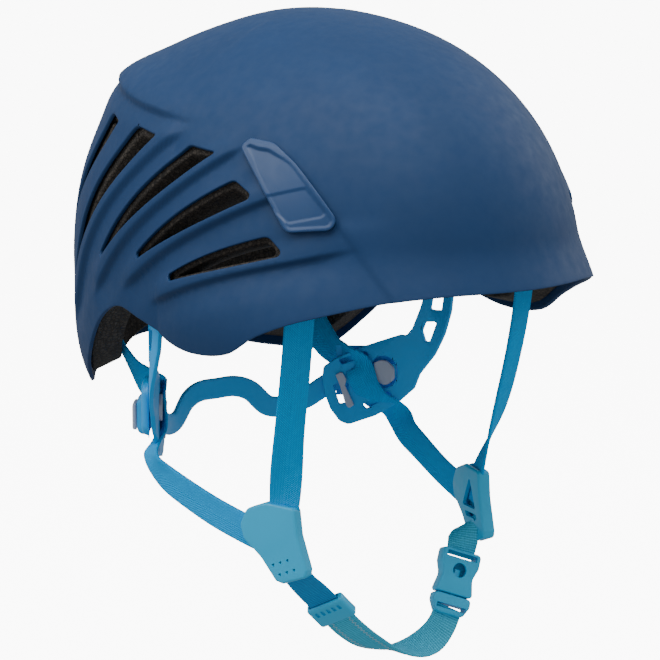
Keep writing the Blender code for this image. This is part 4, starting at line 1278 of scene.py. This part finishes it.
def build_buckle(sizes):
    width, thick = sizes.web_width / MM, sizes.web_thickness / MM
    place = frame_from(BUCKLE_CENTRE, BUCKLE_AXIS, BUCKLE_FACING)
    cyan = look("cyan_moulded_acetal")

    def flat(bm):
        """Lay an (x, y, depth) plate in the buckle's frame, depth outwards."""
        return moved(bm, place @ Matrix.Rotation(math.pi / 2, 4, "X") @ Matrix.Diagonal((1, 1, -1, 1)))

    female = rounded(((-10.0, -11.0, 1.5), (-8.0, -2.0, 6), (-10.2, 4.0, 2), (-10.2, 11.0, 2),
                      (10.2, 11.0, 2), (10.2, 4.0, 2), (8.0, -2.0, 6), (10.0, -11.0, 1.5)), 5)
    body = plate([female], -4.0, 4.0, edge=1.0)
    pocket = box((15.6, 17.0, 4.6), (0, -3.5, 0), 0.4)
    window = plate([circle(0, 1.0, 3.6, 28)], 0, 8, edge=0)
    slot = box((16.2, 2.6, 12.0), (0, 8.2, 0), 0.4)
    bm = combine(combine(combine(body, pocket, "DIFFERENCE"), window, "DIFFERENCE"), slot, "DIFFERENCE")
    piece("buckle_socket", flat(bm), cyan, "slider_left", ["buckle_female"])

    male = rounded(((-9.8, -11.4, 2), (-10.0, -15.5, 3), (-7.0, -21.2, 3), (7.0, -21.2, 3),
                    (10.0, -15.5, 3), (9.8, -11.4, 2)), 6)
    body = plate([male], -3.5, 3.5, edge=1.1)
    slot = box((15.8, 2.4, 12.0), (0, -17.6, 0), 0.4)
    guide = box((3.0, 15.0, 3.0), (0, -6.0, 0), 0.4)
    bm = combine(combine(body, slot, "DIFFERENCE"), guide, "UNION")
    piece("buckle_plug", flat(bm), cyan, "buckle", ["buckle_male"])
    for word, sign in (("front", -1), ("back", 1)):
        arm = rounded([(sign * x, y, radius) for x, y, radius in BUCKLE_ARM], 3)
        bm = plate([arm], -1.6, 1.6, edge=0.35)
        piece("buckle_arm_" + word, flat(bm), cyan, "prong_" + word,
              ["buckle_prong_" + word])

    axis = Vector(BUCKLE_AXIS).normalized()
    start = Vector(BUCKLE_CENTRE) + axis * 8.2
    route = [start, start + axis * 6, start + axis * 12, Vector(SLIDER_CENTRE) + Vector((0, 0, -8))]
    out = facing_azimuth(SLIDER_FACING)
    facings = [CHIN_FACING[-1], (0.4, 0.8, -0.2), (0.7, 0.2, -0.1), tuple(out)]
    bm = ribbon(route, facings, width, thick)
    piece("buckle_webbing", bm, look("teal_ribbed_webbing"), "slider_left", ["buckle_loop"])


def build_fittings():
    """The strap anchors and the arms' pivot pins keep their frame shapes and get their finish."""
    for word, _ in SIDES:
        for node, finish in (("front_anchor_", "black_moulded_nylon"),
                             ("rear_anchor_", "black_moulded_nylon"),
                             ("pivot_pin_", "grey_moulded_acetal")):
            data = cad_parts[node + word].data
            data.materials.clear()
            data.materials.append(look(finish))


# --- stage --------------------------------------------------------------------------------------

def build_floor():
    """A sheet of paper that the helmet hangs over, turning up into a backdrop behind it."""
    bm = bmesh.new()
    bmesh.ops.create_grid(bm, x_segments=1, y_segments=40, size=0.5)
    turn = Matrix.Rotation(math.radians(CAMERA_AZIMUTH), 3, "Z")
    for vert in bm.verts:
        way = (vert.co.y + 0.5) * FLOOR_LENGTH
        bend = max(0.0, min(1.0, (way - FLOOR_FLAT) / FLOOR_BEND)) * math.pi / 2
        y = min(way, FLOOR_FLAT) - FLOOR_BEFORE + BEND_RADIUS * math.sin(bend)
        z = FLOOR_HEIGHT + BEND_RADIUS * (1 - math.cos(bend))
        z += max(0.0, way - FLOOR_FLAT - FLOOR_BEND)
        vert.co = turn @ Vector((vert.co.x * FLOOR_WIDTH, y, z))
    bmesh.ops.scale(bm, verts=bm.verts, vec=(MM, MM, MM))
    bmesh.ops.recalc_face_normals(bm, faces=bm.faces)
    mesh = mesh_of(bm, "studio_floor")
    mesh.shade_smooth()
    mesh.materials.append(look("white_studio_paper"))
    floor = add_object("studio_floor", mesh)
    floor.visible_diffuse = False
    floor.visible_glossy = False


def light_world():
    """A plain pale sky, brighter towards the top."""
    world = bpy.data.worlds.new("studio")
    bpy.context.scene.world = world
    world.use_nodes = True
    tree = world.node_tree
    way = add_node(tree, "ShaderNodeTexCoord").outputs["Generated"]
    height = add_node(tree, "ShaderNodeSeparateXYZ", {"Vector": way}).outputs["Z"]
    background = tree.nodes["Background"]
    tree.links.new(remap(tree, height, -0.5, 0.9, 0.45, 0.68), background.inputs["Strength"])
    background.inputs["Color"].default_value = (1, 1, 1, 1)


def add_lamps(target):
    for name, azimuth, elevation, power, size in LAMPS:
        light = bpy.data.lights.new(name, "AREA")
        light.energy = power
        light.size = size
        lamp = add_object(name, light)
        way = Vector(directions(np.array(azimuth * 1.0), np.array(elevation * 1.0)))
        turn = way.to_track_quat("Z", "Y").to_matrix().to_4x4()
        lamp.matrix_world = Matrix.Translation(target + way * LAMP_DISTANCE) @ turn


def add_camera(target):
    camera = bpy.data.cameras.new("camera")
    camera.sensor_width = 36
    camera.lens = CAMERA_LENS
    eye = add_object("camera", camera)
    back_way = Vector(directions(np.array(CAMERA_AZIMUTH), np.array(CAMERA_ELEVATION)))
    side_way = Vector((0, 0, 1)).cross(back_way).normalized()
    turn = Matrix((side_way, back_way.cross(side_way), back_way)).transposed().to_4x4()
    eye.matrix_world = Matrix.Translation(target + back_way * CAMERA_DISTANCE * MM) @ turn
    bpy.context.scene.camera = eye


def build_stage():
    target = Vector(CAMERA_TARGET) * MM
    build_floor()
    light_world()
    add_lamps(target)
    add_camera(target)


# --- add-on -------------------------------------------------------------------------------------

class HELMET_OT_shell(bpy.types.Operator):
    """Build the vented shell with its ridges"""
    bl_idname = "helmet.shell"
    bl_label = "Shell"

    def execute(self, context):
        build_shell(context.scene.climbing_helmet)
        return {"FINISHED"}


class HELMET_OT_foam(bpy.types.Operator):
    """Build the two foam pieces"""
    bl_idname = "helmet.foam"
    bl_label = "Foam"

    def execute(self, context):
        build_foam(context.scene.climbing_helmet)
        return {"FINISHED"}


class HELMET_OT_pads(bpy.types.Operator):
    """Build the brow and crown cushions"""
    bl_idname = "helmet.pads"
    bl_label = "Comfort pads"

    def execute(self, context):
        build_pads()
        return {"FINISHED"}


class HELMET_OT_clips(bpy.types.Operator):
    """Build the two headlamp clips"""
    bl_idname = "helmet.clips"
    bl_label = "Lamp clips"

    def execute(self, context):
        build_clips()
        return {"FINISHED"}


class HELMET_OT_rear_loop(bpy.types.Operator):
    """Build the rear elastic and its hook"""
    bl_idname = "helmet.rear_loop"
    bl_label = "Rear lamp loop"

    def execute(self, context):
        build_rear_lamp_loop()
        return {"FINISHED"}


class HELMET_OT_headband(bpy.types.Operator):
    """Build the arms, adjusters, ratchets and buttons"""
    bl_idname = "helmet.headband"
    bl_label = "Headband"

    def execute(self, context):
        build_headband(context.scene.climbing_helmet)
        return {"FINISHED"}


class HELMET_OT_nape_band(bpy.types.Operator):
    """Build the band across the nape"""
    bl_idname = "helmet.nape_band"
    bl_label = "Nape band"

    def execute(self, context):
        build_nape_band()
        return {"FINISHED"}


class HELMET_OT_straps(bpy.types.Operator):
    """Build the front and rear webbing"""
    bl_idname = "helmet.straps"
    bl_label = "Straps"

    def execute(self, context):
        build_straps(context.scene.climbing_helmet)
        return {"FINISHED"}


class HELMET_OT_sliders(bpy.types.Operator):
    """Build the strap sliders below the ears"""
    bl_idname = "helmet.sliders"
    bl_label = "Sliders"

    def execute(self, context):
        build_sliders()
        return {"FINISHED"}


class HELMET_OT_chin(bpy.types.Operator):
    """Build the chin strap, its keeper and its stitching"""
    bl_idname = "helmet.chin"
    bl_label = "Chin strap"

    def execute(self, context):
        build_chin(context.scene.climbing_helmet)
        return {"FINISHED"}


class HELMET_OT_buckle(bpy.types.Operator):
    """Build the side-release buckle"""
    bl_idname = "helmet.buckle"
    bl_label = "Buckle"

    def execute(self, context):
        build_buckle(context.scene.climbing_helmet)
        return {"FINISHED"}


class HELMET_OT_fittings(bpy.types.Operator):
    """Give the anchors and pivot pins their finish"""
    bl_idname = "helmet.fittings"
    bl_label = "Fittings"

    def execute(self, context):
        build_fittings()
        return {"FINISHED"}


class HELMET_OT_stage(bpy.types.Operator):
    """Build the floor, lights and camera"""
    bl_idname = "helmet.stage"
    bl_label = "Stage"

    def execute(self, context):
        build_stage()
        return {"FINISHED"}


STEPS = (HELMET_OT_shell, HELMET_OT_foam, HELMET_OT_pads, HELMET_OT_clips,
         HELMET_OT_rear_loop, HELMET_OT_headband, HELMET_OT_nape_band, HELMET_OT_straps,
         HELMET_OT_sliders, HELMET_OT_chin, HELMET_OT_buckle, HELMET_OT_fittings,
         HELMET_OT_stage)


class HELMET_PT_panel(bpy.types.Panel):
    """The helmet's sizes and colours, and its steps in order"""
    bl_idname = "HELMET_PT_panel"
    bl_label = "Climbing Helmet"
    bl_space_type = "VIEW_3D"
    bl_region_type = "UI"
    bl_category = "Helmet"

    def draw(self, context):
        sizes = context.scene.climbing_helmet
        for name in HelmetSizes.__annotations__:
            self.layout.prop(sizes, name)
        for step in STEPS:
            self.layout.operator(step.bl_idname)


CLASSES = (HelmetSizes, *STEPS, HELMET_PT_panel)


def register():
    for entry in CLASSES:
        bpy.utils.register_class(entry)
    bpy.types.Scene.climbing_helmet = PointerProperty(type=HelmetSizes)


def unregister():
    del bpy.types.Scene.climbing_helmet
    for entry in reversed(CLASSES):
        bpy.utils.unregister_class(entry)


def main():
    register()
    for step in STEPS:
        getattr(bpy.ops.helmet, step.bl_idname.split(".")[1])()
    bpy.context.view_layer.update()


if __name__ == "__main__":
    main()
